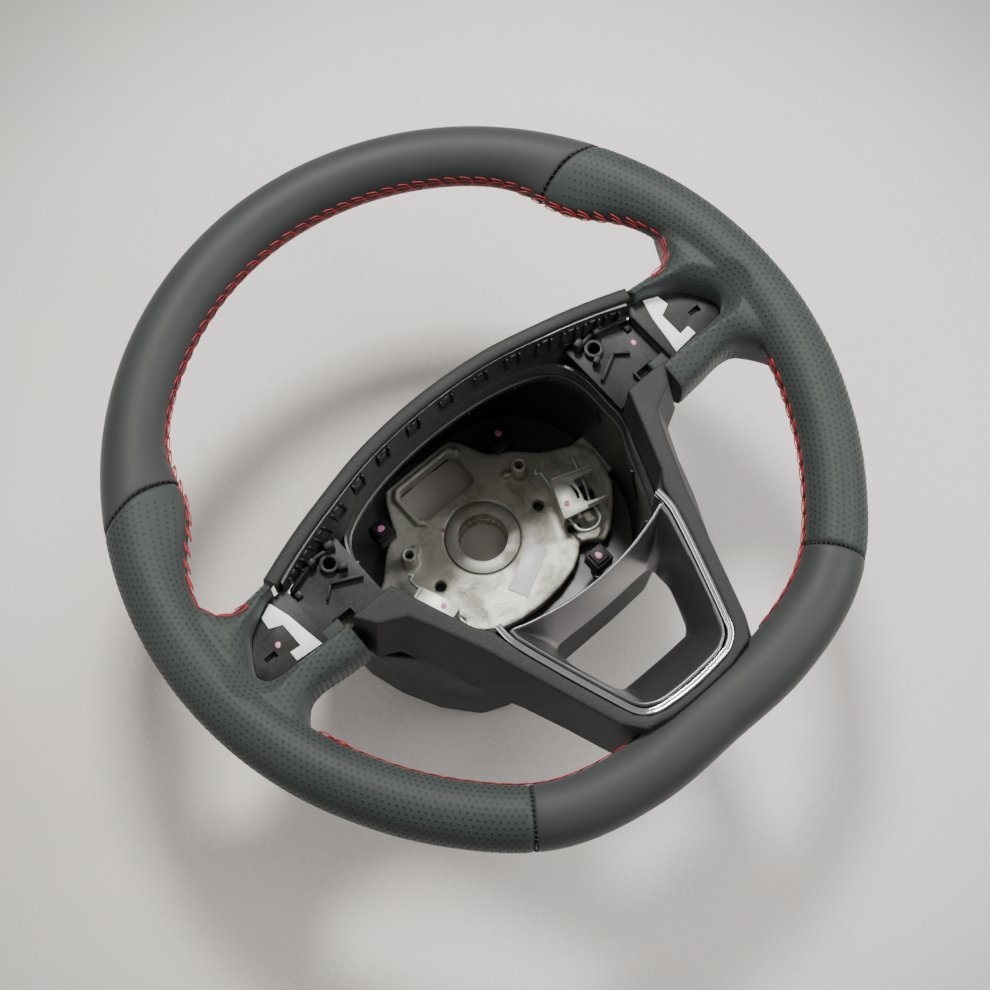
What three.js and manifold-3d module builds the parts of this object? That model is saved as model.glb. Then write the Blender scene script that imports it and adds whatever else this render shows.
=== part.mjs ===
// Flat-bottomed, leather-wrapped steering wheel, shown with its airbag and switch panels taken off.
// Millimetres. +Z points to the driver, +Y to 12 o'clock, +X to 3 o'clock.
// The origin is on the steering axis, in the plane of the hub's back face.
import * as THREE from 'three';
import { ParametricGeometry } from 'three/addons/geometries/ParametricGeometry.js';
import { mergeGeometries, mergeVertices } from 'three/addons/utils/BufferGeometryUtils.js';
import Module from 'manifold-3d';

const wasm = await Module();
wasm.setup();

// ---- driving dimensions ----
const GAP = 0.3; // clearance between pieces that touch on the real wheel
const RIM_Z = 130; // height of the rim's centre plane above the hub's back face
const RIM_TOP = 173.5; // centre line of the rim: distance from the axis at 12 o'clock
const RIM_SIDE = 168.4; // the same at 3 and 9 o'clock
const RIM_CORNER = 176.8; // the same at the rounded corners of the flat bottom
const RIM_FLAT = 167.5; // the same at 6 o'clock, in the middle of the flat bottom
const GRIP_R = 15.5; // outside radius of the leather-covered grip
const LEATHER = 1.2; // leather thickness
const FOAM_DEPTH = LEATHER + 0.8; // the foam's surface under the leather's outside
const FOAM_R = GRIP_R - FOAM_DEPTH;
const CORE_R = 5.5; // metal core ring inside the foam
const THUMB_BULGE = 10.5; // extra thickness of the thumb rests on the inner side
const THUMB_CLOCK = 59.5; // clock angle of the thickest part of the thumb rests, in degrees
const TOP_SEAM = 57.2; // clock angle of the upper leather seams, in degrees
const BOTTOM_SEAM = 147.1; // clock angle of the lower leather seams
const SEAM_GAP = 0.06; // half of the gap between two leather panels, in degrees

const PLATE_BACK = 8;
const PLATE_TOP = 15;
const BUSH_R = 20.7;
const BORE_R = 13.8;
const SPLINE_R = 12.9;
const SPLINE_TEETH = 24;
const BOSS_TOP = 30;
const ARM_THICK = 5;

const CARRIER_TOP = 122; // switch carrier face under the switch panel
const CARRIER_LOW = 115; // its lower, inner shelf
const BEZEL_BACK = 108;
const BEZEL_TOP = 144;

const BUFFER_TOP = 35; // top of the sprung contact blocks
const BUFFER_SIZE = 11;
const BUFFERS = [[42, 34.5], [-42, 34.5], [36, -54], [-36, -54]]; // where the blocks stand

// ---- solids ----
function toSolid(geometry) {
  const bare = geometry.clone();
  bare.deleteAttribute('normal');
  bare.deleteAttribute('uv');
  const merged = mergeVertices(bare, 1e-4);
  const index = merged.index.array;
  const build = (order) => {
    const triangles = [];
    for (let i = 0; i < index.length; i += 3) {
      const [a, b, c] = [index[i], index[i + order[0]], index[i + order[1]]];
      if (a !== b && b !== c && c !== a) triangles.push(a, b, c);
    }
    return new wasm.Manifold(new wasm.Mesh({
      numProp: 3,
      vertProperties: merged.attributes.position.array,
      triVerts: new Uint32Array(triangles),
    }));
  };
  const solid = build([1, 2]);
  return solid.volume() < 0 ? build([2, 1]) : solid;
}

function toGeometry(solid) {
  const mesh = solid.getMesh();
  const geometry = new THREE.BufferGeometry();
  geometry.setAttribute('position', new THREE.BufferAttribute(new Float32Array(mesh.vertProperties), 3));
  geometry.setIndex(new THREE.BufferAttribute(new Uint32Array(mesh.triVerts), 1));
  geometry.computeVertexNormals();
  return geometry;
}

const shapeOf = (points) => new THREE.Shape(points.map(([x, y]) => new THREE.Vector2(x, y)));

function prism(points, low, high, holes = []) {
  const shape = shapeOf(points);
  for (const hole of holes) shape.holes.push(shapeOf(hole));
  const geometry = new THREE.ExtrudeGeometry(shape, { depth: high - low, bevelEnabled: false });
  geometry.translate(0, 0, low);
  return toSolid(geometry);
}

function cylinder(x, y, radius, low, high, sides = 24) {
  const geometry = new THREE.CylinderGeometry(radius, radius, high - low, sides);
  geometry.rotateX(Math.PI / 2);
  geometry.translate(x, y, (low + high) / 2);
  return toSolid(geometry);
}

function box(x0, x1, y0, y1, z0, z1) {
  const geometry = new THREE.BoxGeometry(x1 - x0, y1 - y0, z1 - z0);
  geometry.translate((x0 + x1) / 2, (y0 + y1) / 2, (z0 + z1) / 2);
  return toSolid(geometry);
}

// A skin through rings of equally many points, closed by a fan at each end or joined end to end.
function loft(rings, loop = false) {
  const middle = (ring) => {
    const centre = new THREE.Vector3();
    for (const point of ring) centre.add(point);
    return ring.map(() => centre.clone().divideScalar(ring.length));
  };
  const stations = loop ? [...rings, rings[0]] : [middle(rings[0]), ...rings, middle(rings.at(-1))];
  const sides = rings[0].length;
  const last = stations.length - 1;
  const surface = (u, v, target) => {
    const ring = stations[Math.min(last, Math.round(v * last))];
    target.copy(ring[Math.round(u * sides) % sides]);
  };
  return toSolid(new ParametricGeometry(surface, sides, last));
}

const union = (solids) => solids.reduce((sum, solid) => sum.add(solid));

// Closes the right half of an outline, listed from 12 o'clock to 6 o'clock, with its mirror image.
function both(half) {
  const left = half.slice(1, -1).reverse();
  return [...half, ...left.map(([x, y]) => [-x, y])];
}

const ring = (points, z) => points.map(([x, y]) => new THREE.Vector3(x, y, z));

// Moves an outline inwards by d (outwards if d is negative), whichever way round it is listed.
function inset(points, d) {
  const area = THREE.ShapeUtils.area(points.map(([x, y]) => new THREE.Vector2(x, y)));
  const side = Math.sign(area);
  return points.map((point, i) => {
    const before = points[(i + points.length - 1) % points.length];
    const after = points[(i + 1) % points.length];
    const a = new THREE.Vector2(point[0] - before[0], point[1] - before[1]).normalize();
    const b = new THREE.Vector2(after[0] - point[0], after[1] - point[1]).normalize();
    const normal = new THREE.Vector2(-(a.y + b.y), a.x + b.x).normalize();
    const stretch = 1 / Math.max(0.5, Math.abs(normal.x * -a.y + normal.y * a.x));
    return [point[0] + normal.x * side * d * stretch, point[1] + normal.y * side * d * stretch];
  });
}

// A strip of constant thickness that follows a line of points.
function ribbon(points, thickness) {
  const offset = (i, side) => {
    const before = points[Math.max(0, i - 1)];
    const after = points[Math.min(points.length - 1, i + 1)];
    const along = new THREE.Vector2(after[0] - before[0], after[1] - before[1]).normalize();
    const half = (side * thickness) / 2;
    return [points[i][0] - along.y * half, points[i][1] + along.x * half];
  };
  const indices = points.map((_, i) => i);
  return [...indices.map((i) => offset(i, 1)), ...indices.reverse().map((i) => offset(i, -1))];
}

// ---- the group of named meshes ----
const wheel = new THREE.Group();

function add(name, solid, colour, roughness, metalness = 0) {
  const material = new THREE.MeshStandardMaterial({ color: colour, roughness, metalness });
  const mesh = new THREE.Mesh(toGeometry(solid), material);
  mesh.name = name;
  wheel.add(mesh);
}

// ---- rim line and grip ----
const RIM_LINE = [
  [0, RIM_TOP], [30, 172], [60, 169.5], [90, RIM_SIDE], [120, 170],
  [135, 173], [150, RIM_CORNER], [165, 172.3], [180, RIM_FLAT],
];

function rimRadius(clock) {
  const angle = Math.abs(((clock + 540) % 360) - 180);
  let i = RIM_LINE.findIndex(([a]) => a >= angle);
  i = Math.max(1, i);
  const [a0, r0] = RIM_LINE[i - 1];
  const [a1, r1] = RIM_LINE[i];
  const t = (angle - a0) / (a1 - a0);
  const rBefore = i > 1 ? RIM_LINE[i - 2][1] : r1;
  const rAfter = i < RIM_LINE.length - 1 ? RIM_LINE[i + 1][1] : r0;
  const m0 = (r1 - rBefore) / 2;
  const m1 = (rAfter - r0) / 2;
  return (2 * t ** 3 - 3 * t ** 2 + 1) * r0 + (t ** 3 - 2 * t ** 2 + t) * m0
    + (-2 * t ** 3 + 3 * t ** 2) * r1 + (t ** 3 - t ** 2) * m1;
}

function rimPoint(clock) {
  const angle = THREE.MathUtils.degToRad(clock);
  const radius = rimRadius(clock);
  return new THREE.Vector2(radius * Math.sin(angle), radius * Math.cos(angle));
}

function rimRing(clock, radius, sides, bulge) {
  const centre = rimPoint(clock);
  const along = rimPoint(clock + 0.5).sub(rimPoint(clock - 0.5)).normalize();
  const out = new THREE.Vector2(-along.y, along.x);
  const angle = Math.abs(((clock + 540) % 360) - 180);
  const thumb = bulge * Math.exp(-(((angle - THUMB_CLOCK) / 9.6) ** 2));
  const points = [];
  for (let k = 0; k < sides; k++) {
    const t = ((k + 0.5) / sides) * 2 * Math.PI;
    const reach = radius + thumb * Math.max(0, -Math.cos(t)) ** 1.5;
    const x = centre.x + out.x * reach * Math.cos(t);
    const y = centre.y + out.y * reach * Math.cos(t);
    points.push(new THREE.Vector3(x, y, RIM_Z + radius * Math.sin(t)));
  }
  return points;
}

function rimTube(radius, sides, bulge, stations = 40) {
  const rings = [];
  for (let i = 0; i < stations; i++) rings.push(rimRing((i * 360) / stations, radius, sides, bulge));
  return loft(rings, true);
}

// ---- spoke ends: the leather and foam reach in from the rim at 3 and 9 o'clock ----
// Each station: x, lowest y, highest y, lowest z, highest z, measured on the leather.
const SPOKE = [
  [96, -38, 24, -28, 3], [118, -36.5, 22.5, -28, 5], [130, -35.5, 21, -28, 6.5],
  [139, -38, 20.5, -27, 8], [146, -47, 25, -26.5, 9.5], [152, -60, 38, -22.5, 10], [160, -64, 46, -13.5, 9],
];

function spokeEnd(depth, sides = 14) {
  const rings = SPOKE.map(([x, y0, y1, z0, z1], i) => {
    const reach = i === 0 ? x - depth : x;
    const points = [];
    for (let k = 0; k < sides; k++) {
      const t = ((k + 0.5) / sides) * 2 * Math.PI;
      const round = (value) => Math.sign(value) * Math.abs(value) ** 0.55;
      const y = (y0 + y1) / 2 + ((y1 - y0) / 2 - depth) * round(Math.cos(t));
      const z = (z0 + z1) / 2 + ((z1 - z0) / 2 - depth) * round(Math.sin(t));
      points.push(new THREE.Vector3(reach, y, RIM_Z + z));
    }
    return points;
  });
  return loft(rings);
}

// The switch recess in the spoke end, seen from the driver.
const RECESS = [
  [95, 15], [112, 15.6], [120.8, 15.4], [130.5, 11], [139.5, 5.6], [145.5, -2.5],
  [149, -9], [149.2, -14.5], [144.5, -19], [130, -20.2], [114, -20.6], [95, -20.6],
];
const mirrored = (solid) => solid.mirror([1, 0, 0]);

// The side leather ends in a step: the upper strip at the shroud, the lower strip at the bezel.
const SPOKE_CUT = prism([[60, 60], [117.7, 60], [117.7, -12], [101.5, -12], [101.5, -60], [60, -60]], 60, 170);

// ---- cast armature: hub plate, two rising arms and the core ring in one casting ----
const PLATE = both([
  [0, 56.5], [23, 56], [27.5, 50], [34, 36], [46, 28], [57, 17], [74, 8], [79, 0], [79, -7],
  [76, -22], [68, -32], [57, -42], [50, -45], [43, -39], [38, -37.5], [33, -42], [26, -46], [14, -49],
  [0, -50],
]);
const WINDOW = [[-20, 30], [-17, 27], [17, 27], [20, 30], [20, 47], [17, 50], [-17, 50], [-20, 47]];
const ARM_LINE = [
  [62, 11.5], [83, 11.5], [87.8, 17], [87.8, 96], [91.5, 105], [100, 108.3],
  [146, 110], [155, 117.6], [165, RIM_Z],
];
const ARM_LOW_Y = -17;
const ARM_HIGH_Y = 9;

function arm(grow) {
  const outline = ribbon(ARM_LINE, ARM_THICK + 2 * grow);
  const geometry = new THREE.ExtrudeGeometry(shapeOf(outline), {
    depth: ARM_HIGH_Y - ARM_LOW_Y + 2 * grow,
    bevelEnabled: false,
  });
  geometry.rotateX(Math.PI / 2);
  geometry.translate(0, ARM_HIGH_Y + grow, 0);
  return toSolid(geometry);
}

const arms = (grow) => arm(grow).add(mirrored(arm(grow)));

const BRACKET_X = 55;
const BRACKET_Y = -17;
const BRACKET_TURN = -21; // degrees about Z

// Carries a solid built around the origin to the right-hand bracket's place.
const atBracket = (solid) => solid.rotate([0, 0, BRACKET_TURN]).translate([BRACKET_X, BRACKET_Y, 0]);

function hubPlate() {
  const plate = prism(PLATE, PLATE_BACK, PLATE_TOP, [WINDOW]);
  const frame = prism(inset(WINDOW, -3), PLATE_TOP - 1, PLATE_TOP + 3, [WINDOW]);
  const boss = cylinder(0, 0, 27, 0, PLATE_TOP - 0.5, 32);
  const parts = [plate, frame, boss];
  const cuts = [cylinder(0, 0, BUSH_R + GAP, -5, 20, 40)];
  for (const side of [-1, 1]) {
    parts.push(cylinder(side * 39.5, 15, 4.3, PLATE_TOP - 1, BOSS_TOP, 16));
    parts.push(cylinder(side * 33.3, 18.5, 2.1, PLATE_TOP - 1, PLATE_TOP + 4, 10));
    cuts.push(cylinder(side * 39.5, 15, 2.4, PLATE_BACK - 5, BOSS_TOP + 5, 12));
    cuts.push(cylinder(side * 35.6, -5.9, 3.2, 0, 20, 16));
  }
  const slots = atBracket(box(-3, 9, -9, 6, 0, 30)).add(atBracket(box(-12, -4, -18, -13.5, 0, 30)));
  cuts.push(slots, mirrored(slots));
  return union(parts).subtract(union(cuts));
}

const core = rimTube(CORE_R, 8, 0, 36);
add('armature', hubPlate().add(arms(0)).add(core), 0xb9b5a6, 0.55, 0.6);

// ---- steel hub bush with a splined lower bore ----
function hubBush() {
  const sides = SPLINE_TEETH * 2;
  const splined = [];
  for (let k = 0; k < sides; k++) {
    const angle = (k / sides) * 2 * Math.PI;
    const radius = k % 2 ? SPLINE_R : BORE_R;
    splined.push([radius * Math.cos(angle), radius * Math.sin(angle)]);
  }
  const body = cylinder(0, 0, BUSH_R, 0, PLATE_TOP + 0.4, 40);
  return body.subtract(prism(splined, -5, 9)).subtract(cylinder(0, 0, BORE_R, 7, 20, 40));
}
add('hub_bush', hubBush(), 0xa7a69c, 0.4, 0.9);

// ---- foam and leather ----
const recessCut = prism(RECESS, CARRIER_TOP - 3 - GAP, 170);
const shelfCut = prism([[60, 15], [115.5, 14], [115.5, -20], [60, -20.3]], CARRIER_LOW - 2.5 - GAP, 170);

const foamSide = spokeEnd(FOAM_DEPTH).subtract(SPOKE_CUT).subtract(recessCut).subtract(shelfCut);
const foam = rimTube(FOAM_R, 14, THUMB_BULGE, 72)
  .add(foamSide)
  .add(mirrored(foamSide))
  .subtract(recessCut)
  .subtract(mirrored(recessCut))
  .subtract(rimTube(CORE_R + GAP, 8, 0, 36))
  .subtract(arms(GAP));
add('rim_foam', foam, 0x2a2a2a, 0.95);

function wedge(from, to) {
  const points = [[0, 0]];
  for (let i = 0; i <= 12; i++) {
    const angle = THREE.MathUtils.degToRad(from + ((to - from) * i) / 12);
    points.push([300 * Math.sin(angle), 300 * Math.cos(angle)]);
  }
  return prism(points, 60, 170);
}

const gripOut = rimTube(GRIP_R, 14, THUMB_BULGE, 72);
const gripIn = rimTube(GRIP_R - LEATHER, 14, THUMB_BULGE, 72);
const grip = gripOut.subtract(gripIn);
const LEATHER_COLOUR = 0x3a3c3a;
add('leather_top', grip.intersect(wedge(-TOP_SEAM + SEAM_GAP, TOP_SEAM - SEAM_GAP)), LEATHER_COLOUR, 0.6);
add('leather_bottom', grip.intersect(wedge(BOTTOM_SEAM + SEAM_GAP, 360 - BOTTOM_SEAM - SEAM_GAP)),
  LEATHER_COLOUR, 0.6);

const leatherRight = gripOut
  .add(spokeEnd(0))
  .subtract(gripIn)
  .subtract(spokeEnd(LEATHER))
  .intersect(wedge(TOP_SEAM + SEAM_GAP, BOTTOM_SEAM - SEAM_GAP))
  .subtract(SPOKE_CUT)
  .subtract(recessCut);
add('leather_right', leatherRight, LEATHER_COLOUR, 0.65);
add('leather_left', mirrored(leatherRight), LEATHER_COLOUR, 0.65);

// ---- switch carriers in the spokes, and the white adhesive pads on them ----
const carrierFace = inset(RECESS, 0.4);
const SHELF = [
  [76, 21], [88, 19.5], [101, 17], [111, 13.4], [114.6, 13], [114.6, -19.3], [101, -19.6], [76, -21],
];

function carrier() {
  const outer = prism(carrierFace, CARRIER_TOP - 3, CARRIER_TOP).subtract(box(60, 112, -60, 60, 0, 170));
  const inner = prism(SHELF, CARRIER_LOW - 2.5, CARRIER_LOW);
  const step = box(112, 114.6, -19.3, 13, CARRIER_LOW - 2.5, CARRIER_TOP);
  const tower = cylinder(87, 12, 5, CARRIER_LOW - 1, CARRIER_LOW + 3, 16);
  const slot = box(135, 141.5, -9.3, -5.9, 0, 170);
  const square = box(95, 102, -19, -13, 0, 170);
  const round = cylinder(87, 12, 3.3, 0, 170, 16);
  return union([outer, inner, step, tower]).subtract(slot).subtract(square).subtract(round);
}
add('switch_carrier_right', carrier(), 0x262b29, 0.5);
add('switch_carrier_left', mirrored(carrier()), 0x262b29, 0.5);

const PAD = [
  [122.2, 14], [129.6, 10.6], [130.4, 4], [124, 1.2], [124, -12.3], [129.8, -11.6],
  [130, -17.1], [115.6, -18.4], [117.2, -9], [119, 3],
];
const pad = prism(PAD, CARRIER_TOP + 0.1, CARRIER_TOP + 0.6);
add('adhesive_pad_right', pad, 0xe9eaec, 0.5);
add('adhesive_pad_left', mirrored(pad), 0xe9eaec, 0.5);

// ---- upper shroud: an arched channel bar from spoke to spoke ----
const SHROUD_LINE = [[117.2, 23], [96, 30.5], [73, 37], [39, 44.5], [0, 47.2]];
// Channel section: distance inwards from the outer edge, height above the rim's centre plane.
const SHROUD_SECTION = [
  [-3.5, -27], [-1.5, -10], [0, -1], [1.2, 1], [6.2, 1], [7.2, 0], [7.6, -14.5], [5.6, -14.5],
  [5.2, -1.5], [2.2, -1.5], [0.8, -11], [-1.2, -27],
];

function shroud() {
  const right = new THREE.CatmullRomCurve3(SHROUD_LINE.map(([x, y]) => new THREE.Vector3(x, y, 0)));
  const half = right.getPoints(8).map((p) => [p.x, p.y]);
  const line = [...half, ...half.slice(0, -1).reverse().map(([x, y]) => [-x, y])];
  const rings = line.map(([x, y], i) => {
    const before = line[Math.max(0, i - 1)];
    const after = line[Math.min(line.length - 1, i + 1)];
    const along = new THREE.Vector2(after[0] - before[0], after[1] - before[1]).normalize();
    return SHROUD_SECTION.map(([d, h]) =>
      new THREE.Vector3(x - along.y * d, y + along.x * d, RIM_Z + h));
  });
  return rings;
}
// A bar through open-channel sections: the skin is one parametric surface. The caps are triangulated,
// because a fan from the middle would leave the channel's mouth.
function channelBar(rings) {
  const sides = SHROUD_SECTION.length;
  const last = rings.length - 1;
  const skin = new ParametricGeometry((u, v, target) => {
    target.copy(rings[Math.round(v * last)][Math.round(u * sides) % sides]);
  }, sides, last);
  const outline = SHROUD_SECTION.map(([d, h]) => new THREE.Vector2(d, h));
  const cap = (ring, turned) => {
    const geometry = new THREE.ShapeGeometry(new THREE.Shape(outline));
    const place = geometry.attributes.position;
    for (let i = 0; i < place.count; i++) {
      const k = outline.findIndex((p) => Math.hypot(p.x - place.getX(i), p.y - place.getY(i)) < 1e-3);
      place.setXYZ(i, ring[k].x, ring[k].y, ring[k].z);
    }
    if (turned) geometry.setIndex([...geometry.index.array].reverse());
    return geometry;
  };
  return toSolid(mergeGeometries([skin, cap(rings[0], false), cap(rings[last], true)]));
}
add('upper_shroud', channelBar(shroud()), 0x34383a, 0.6);

// ---- chrome strip, trim insert and lower bezel ----
// Outer edge of the chrome, right half, from its upper tip to 6 o'clock.
const CHROME = [
  [52.6, -71.5], [52.6, -80], [50.6, -89], [43.2, -112], [35, -135.5], [31, -145], [26, -149.8],
  [18.5, -152.4], [0, -153.8],
];
const CHROME_WIDTH = 3.4;
const reversed = (points) => [...points].reverse();
const leftOf = (points) => points.map(([x, y]) => [-x, y]);
const uLine = (half) => [...half, ...leftOf(reversed(half).slice(1))];

// Moves an open line of points to its left by d.
function shifted(points, d) {
  return points.map((point, i) => {
    const before = points[Math.max(0, i - 1)];
    const after = points[Math.min(points.length - 1, i + 1)];
    const along = new THREE.Vector2(after[0] - before[0], after[1] - before[1]).normalize();
    return [point[0] - along.y * d, point[1] + along.x * d];
  });
}

const chromeOut = uLine(CHROME);
const chromeIn = shifted(chromeOut, -CHROME_WIDTH);
const chrome = prism([...chromeOut, ...reversed(chromeIn)], BEZEL_TOP - 5, BEZEL_TOP + 0.6);
add('chrome_strip', chrome, 0xd9dde2, 0.12, 1);

const ARC = [[-40, -78.6], [-20, -83.2], [0, -84.6], [20, -83.2], [40, -78.6]];
const insertEdge = shifted(chromeOut, -CHROME_WIDTH - 0.25);
const insertOutline = [...insertEdge, ...ARC];
const insertWell = loft([
  ring(both([[0, -91.5], [16, -91], [29.5, -90.5], [31.5, -94], [31.5, -105], [23.5, -125], [19.5, -127.8],
    [0, -128.2]]), BEZEL_BACK - 2),
  ring(both([[0, -91], [16, -90.4], [30, -89.5], [32, -93], [32, -105], [24, -126], [20, -128.5],
    [0, -129]]), 114),
  ring(both([[0, -87.4], [20, -85.8], [44, -80.4], [46.2, -84], [40.5, -104], [31.5, -134], [26, -142],
    [0, -145.6]]), BEZEL_TOP - 2),
  ring(both([[0, -87], [20, -85.4], [45, -79.6], [47.2, -84], [41.5, -104], [32.5, -134], [27, -143],
    [0, -146.6]]), BEZEL_TOP + 2),
]);
const insert = prism(insertOutline, BEZEL_BACK, BEZEL_TOP).subtract(insertWell);
add('trim_insert', insert, 0x8b8d90, 0.35, 0.8);

// Outer edge of the bezel at its back and at its face, right half.
const BEZEL_OUT_BACK = [
  [101.1, -22], [98.8, -37.5], [88.5, -43], [81.5, -58], [74, -78], [62, -104], [54, -124], [46, -146],
  [40, -158], [20, -158.5], [0, -158.5],
];
const BEZEL_OUT_TOP = [
  [99.5, -23.5], [92.5, -34], [79.5, -40.5], [72, -56], [62.5, -78], [53.5, -104], [46.5, -124], [39.5, -144],
  [32, -153.5], [18, -157], [0, -157.6],
];
const BEZEL_IN = [
  [75.5, -23.5], [75, -25.5], [71.8, -33.5], [65.5, -50], [59.5, -65], [54.6, -71.5],
];

function bezel() {
  const outside = loft([
    ring(uLine(BEZEL_OUT_BACK), BEZEL_BACK),
    ring(uLine(BEZEL_OUT_TOP), BEZEL_TOP),
  ]);
  const upperIn = [...BEZEL_IN, ...shifted(CHROME, 0.25).slice(1)];
  const lowerIn = [...BEZEL_IN.slice(0, -1), ...shifted(CHROME, -CHROME_WIDTH + 0.05)];
  const close = (half) => [...uLine(half), [-75.5, 80], [75.5, 80]];
  const upperCut = prism(close(upperIn), BEZEL_TOP - 5.3, BEZEL_TOP + 30);
  const lowerCut = prism(close(lowerIn), BEZEL_BACK - 30, BEZEL_TOP);
  return outside
    .subtract(upperCut)
    .subtract(lowerCut)
    .subtract(rimTube(GRIP_R + GAP, 14, 0))
    .subtract(box(-76, 76, -21.5, 100, 90, 170));
}
add('lower_bezel', bezel(), 0x323634, 0.6);

// ---- airbag well and rear cover ----
const WELL_TOP = [
  [0, 37.5], [33, 35], [57, 28.5], [70, 20], [75.3, 6], [75.3, -12], [74.6, -24], [69, -36], [57.5, -64],
  [48, -72.5], [24, -80], [0, -82],
];
const WELL_BOTTOM = [
  [0, 62], [33, 60], [58, 50], [74, 32], [80.5, 10], [81, -10], [78, -30], [70, -46], [58, -60],
  [46, -68], [24, -73], [0, -74],
];
const WELL_MIDDLE = WELL_TOP.map(([x, y], i) => [(x + WELL_BOTTOM[i][0]) / 2, (y + WELL_BOTTOM[i][1]) / 2]);
const WALL = 1.8;
const FLOOR_Z = 5.2;

function airbagWell() {
  const shell = (d, low, high) => loft([
    ring(inset(both(WELL_BOTTOM), -d), low),
    ring(inset(both(WELL_BOTTOM), -d), 45),
    ring(inset(both(WELL_MIDDLE), -d), 75),
    ring(inset(both(WELL_TOP), -d), 100),
    ring(inset(both(WELL_TOP), -d), high),
  ]);
  const skin = shell(WALL, FLOOR_Z, 107.5).subtract(shell(0, FLOOR_Z + WALL, 115));
  const towers = [];
  const bores = [];
  for (const [x, y] of BUFFERS) {
    const half = BUFFER_SIZE / 2 + 1.2;
    towers.push(box(x - half, x + half, y - half, y + half, FLOOR_Z + 0.5, BUFFER_TOP - 17));
    bores.push(cylinder(x, y, 3.4, 0, 60, 12));
  }
  const seeThrough = atBracket(box(-15, 12, -20, 10, 0, 12));
  return skin
    .add(union(towers).subtract(prism(inset(PLATE, -1.2), -60, PLATE_TOP + 1.2)))
    .subtract(union(bores))
    .subtract(cylinder(0, 0, 30, 0, 12, 32))
    .subtract(prism(inset(WINDOW, -1), 0, 12))
    .subtract(seeThrough)
    .subtract(mirrored(seeThrough))
    .subtract(arms(GAP))
    .subtract(box(-90, 90, ARM_LOW_Y - GAP, ARM_HIGH_Y + GAP, PLATE_BACK, PLATE_TOP));
}

add('airbag_well', airbagWell(), 0x1b2220, 0.55);

const COVER_WAIST = [
  [0, 68], [36, 66], [64, 57], [84, 38], [95, 8], [95, -16], [89, -36], [78.5, -56], [64, -73],
  [49, -79.5], [24, -80.5], [0, -80.5],
];
const COVER_TOP = [
  [0, 53], [39, 50.5], [73, 43], [93, 31], [100.5, 8], [100.5, -16], [97, -34], [82, -50], [70, -70],
  [54, -82], [26, -85.5], [0, -86],
];

function rearCover() {
  const shell = (d, grow) => loft([
    ring(inset(both(COVER_WAIST), d + 3), -grow),
    ring(inset(both(COVER_WAIST), d + 0.8), 4 - grow),
    ring(inset(both(COVER_WAIST), d), 30),
    ring(inset(both(COVER_WAIST), d), 55),
    ring(inset(both(COVER_TOP), d), 92),
    ring(inset(both(COVER_TOP), d), 99 + grow),
  ]);
  const opening = prism(inset(both(COVER_WAIST), 16), -20, 20);
  return shell(0, 0).subtract(shell(2.2, -2.2).add(shell(2.2, 0).translate([0, 0, 4]))).subtract(opening);
}
add('rear_cover', rearCover(), 0x202322, 0.6);

// ---- spring brackets and wire springs that catch the airbag's hooks ----
function bracket() {
  const top = box(-9, 13.5, -12, 12, 28, 29.4);
  const slots = box(3, 10.5, -7, 6.5, 20, 40).add(box(-2, 1.5, -6, -1, 20, 40));
  const left = box(-9, -7.6, -12, 12, PLATE_TOP + 0.15, 29);
  const flanges = left.add(box(12.1, 13.5, -12, 12, PLATE_TOP + 0.15, 29));
  const bridge = box(-9, 13.5, 10.6, 12, 26, 29);
  return union([top, flanges, bridge]).subtract(slots);
}
const bracketRight = atBracket(bracket());
add('spring_bracket_right', bracketRight, 0xb4b29f, 0.5, 0.6);
add('spring_bracket_left', mirrored(bracketRight), 0xb4b29f, 0.5, 0.6);

function wireSpring() {
  const line = [
    [-13, 20], [-13, 8], [-13, -6], [-13, -16], [-9.5, -21.5], [-3.5, -22], [0.2, -17], [1, -8], [3, 4], [5, 16],
  ].map(([x, y]) => new THREE.Vector3(x, y, 22.5));
  const circle = [];
  for (let k = 0; k < 8; k++) {
    const t = (k / 8) * 2 * Math.PI;
    circle.push([1.05 * Math.cos(t), 1.05 * Math.sin(t)]);
  }
  return toSolid(new THREE.ExtrudeGeometry(shapeOf(circle), {
    steps: 24,
    extrudePath: new THREE.CatmullRomCurve3(line),
    bevelEnabled: false,
  }));
}
const wireRight = atBracket(wireSpring());
add('wire_spring_right', wireRight, 0x9fb3a6, 0.3, 0.9);
add('wire_spring_left', mirrored(wireRight), 0x9fb3a6, 0.3, 0.9);

// ---- sprung contact blocks around the hub plate ----
function contactBlock(x, y) {
  const half = BUFFER_SIZE / 2;
  const low = BUFFER_TOP - 14;
  const head = box(x - half, x + half, y - half, y + half, low, BUFFER_TOP - 1.5);
  const crown = box(x - half + 1.5, x + half - 1.5, y - half + 1.5, y + half - 1.5, low + 2, BUFFER_TOP);
  const stem = cylinder(x, y, 3, low - 12, low + 1, 12);
  return union([head, crown, stem]);
}
const BUFFER_NAMES = ['upper_right', 'upper_left', 'lower_right', 'lower_left'];
BUFFERS.forEach(([x, y], i) => {
  add(`contact_block_${BUFFER_NAMES[i]}`, contactBlock(x, y), 0x101111, 0.6);
});

// ---- blank paper label on the hub plate ----
const label = box(-15, 15, -5.8, 5.8, PLATE_TOP + 0.1, PLATE_TOP + 0.4)
  .rotate([0, 0, 26.4])
  .translate([6.5, -30, 0]);
add('label', label, 0xf2f2ef, 0.7);

export default wheel;
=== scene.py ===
import math
from contextlib import contextmanager

import bmesh
import bpy
from mathutils import Euler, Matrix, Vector
from mathutils.bvhtree import BVHTree


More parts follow.
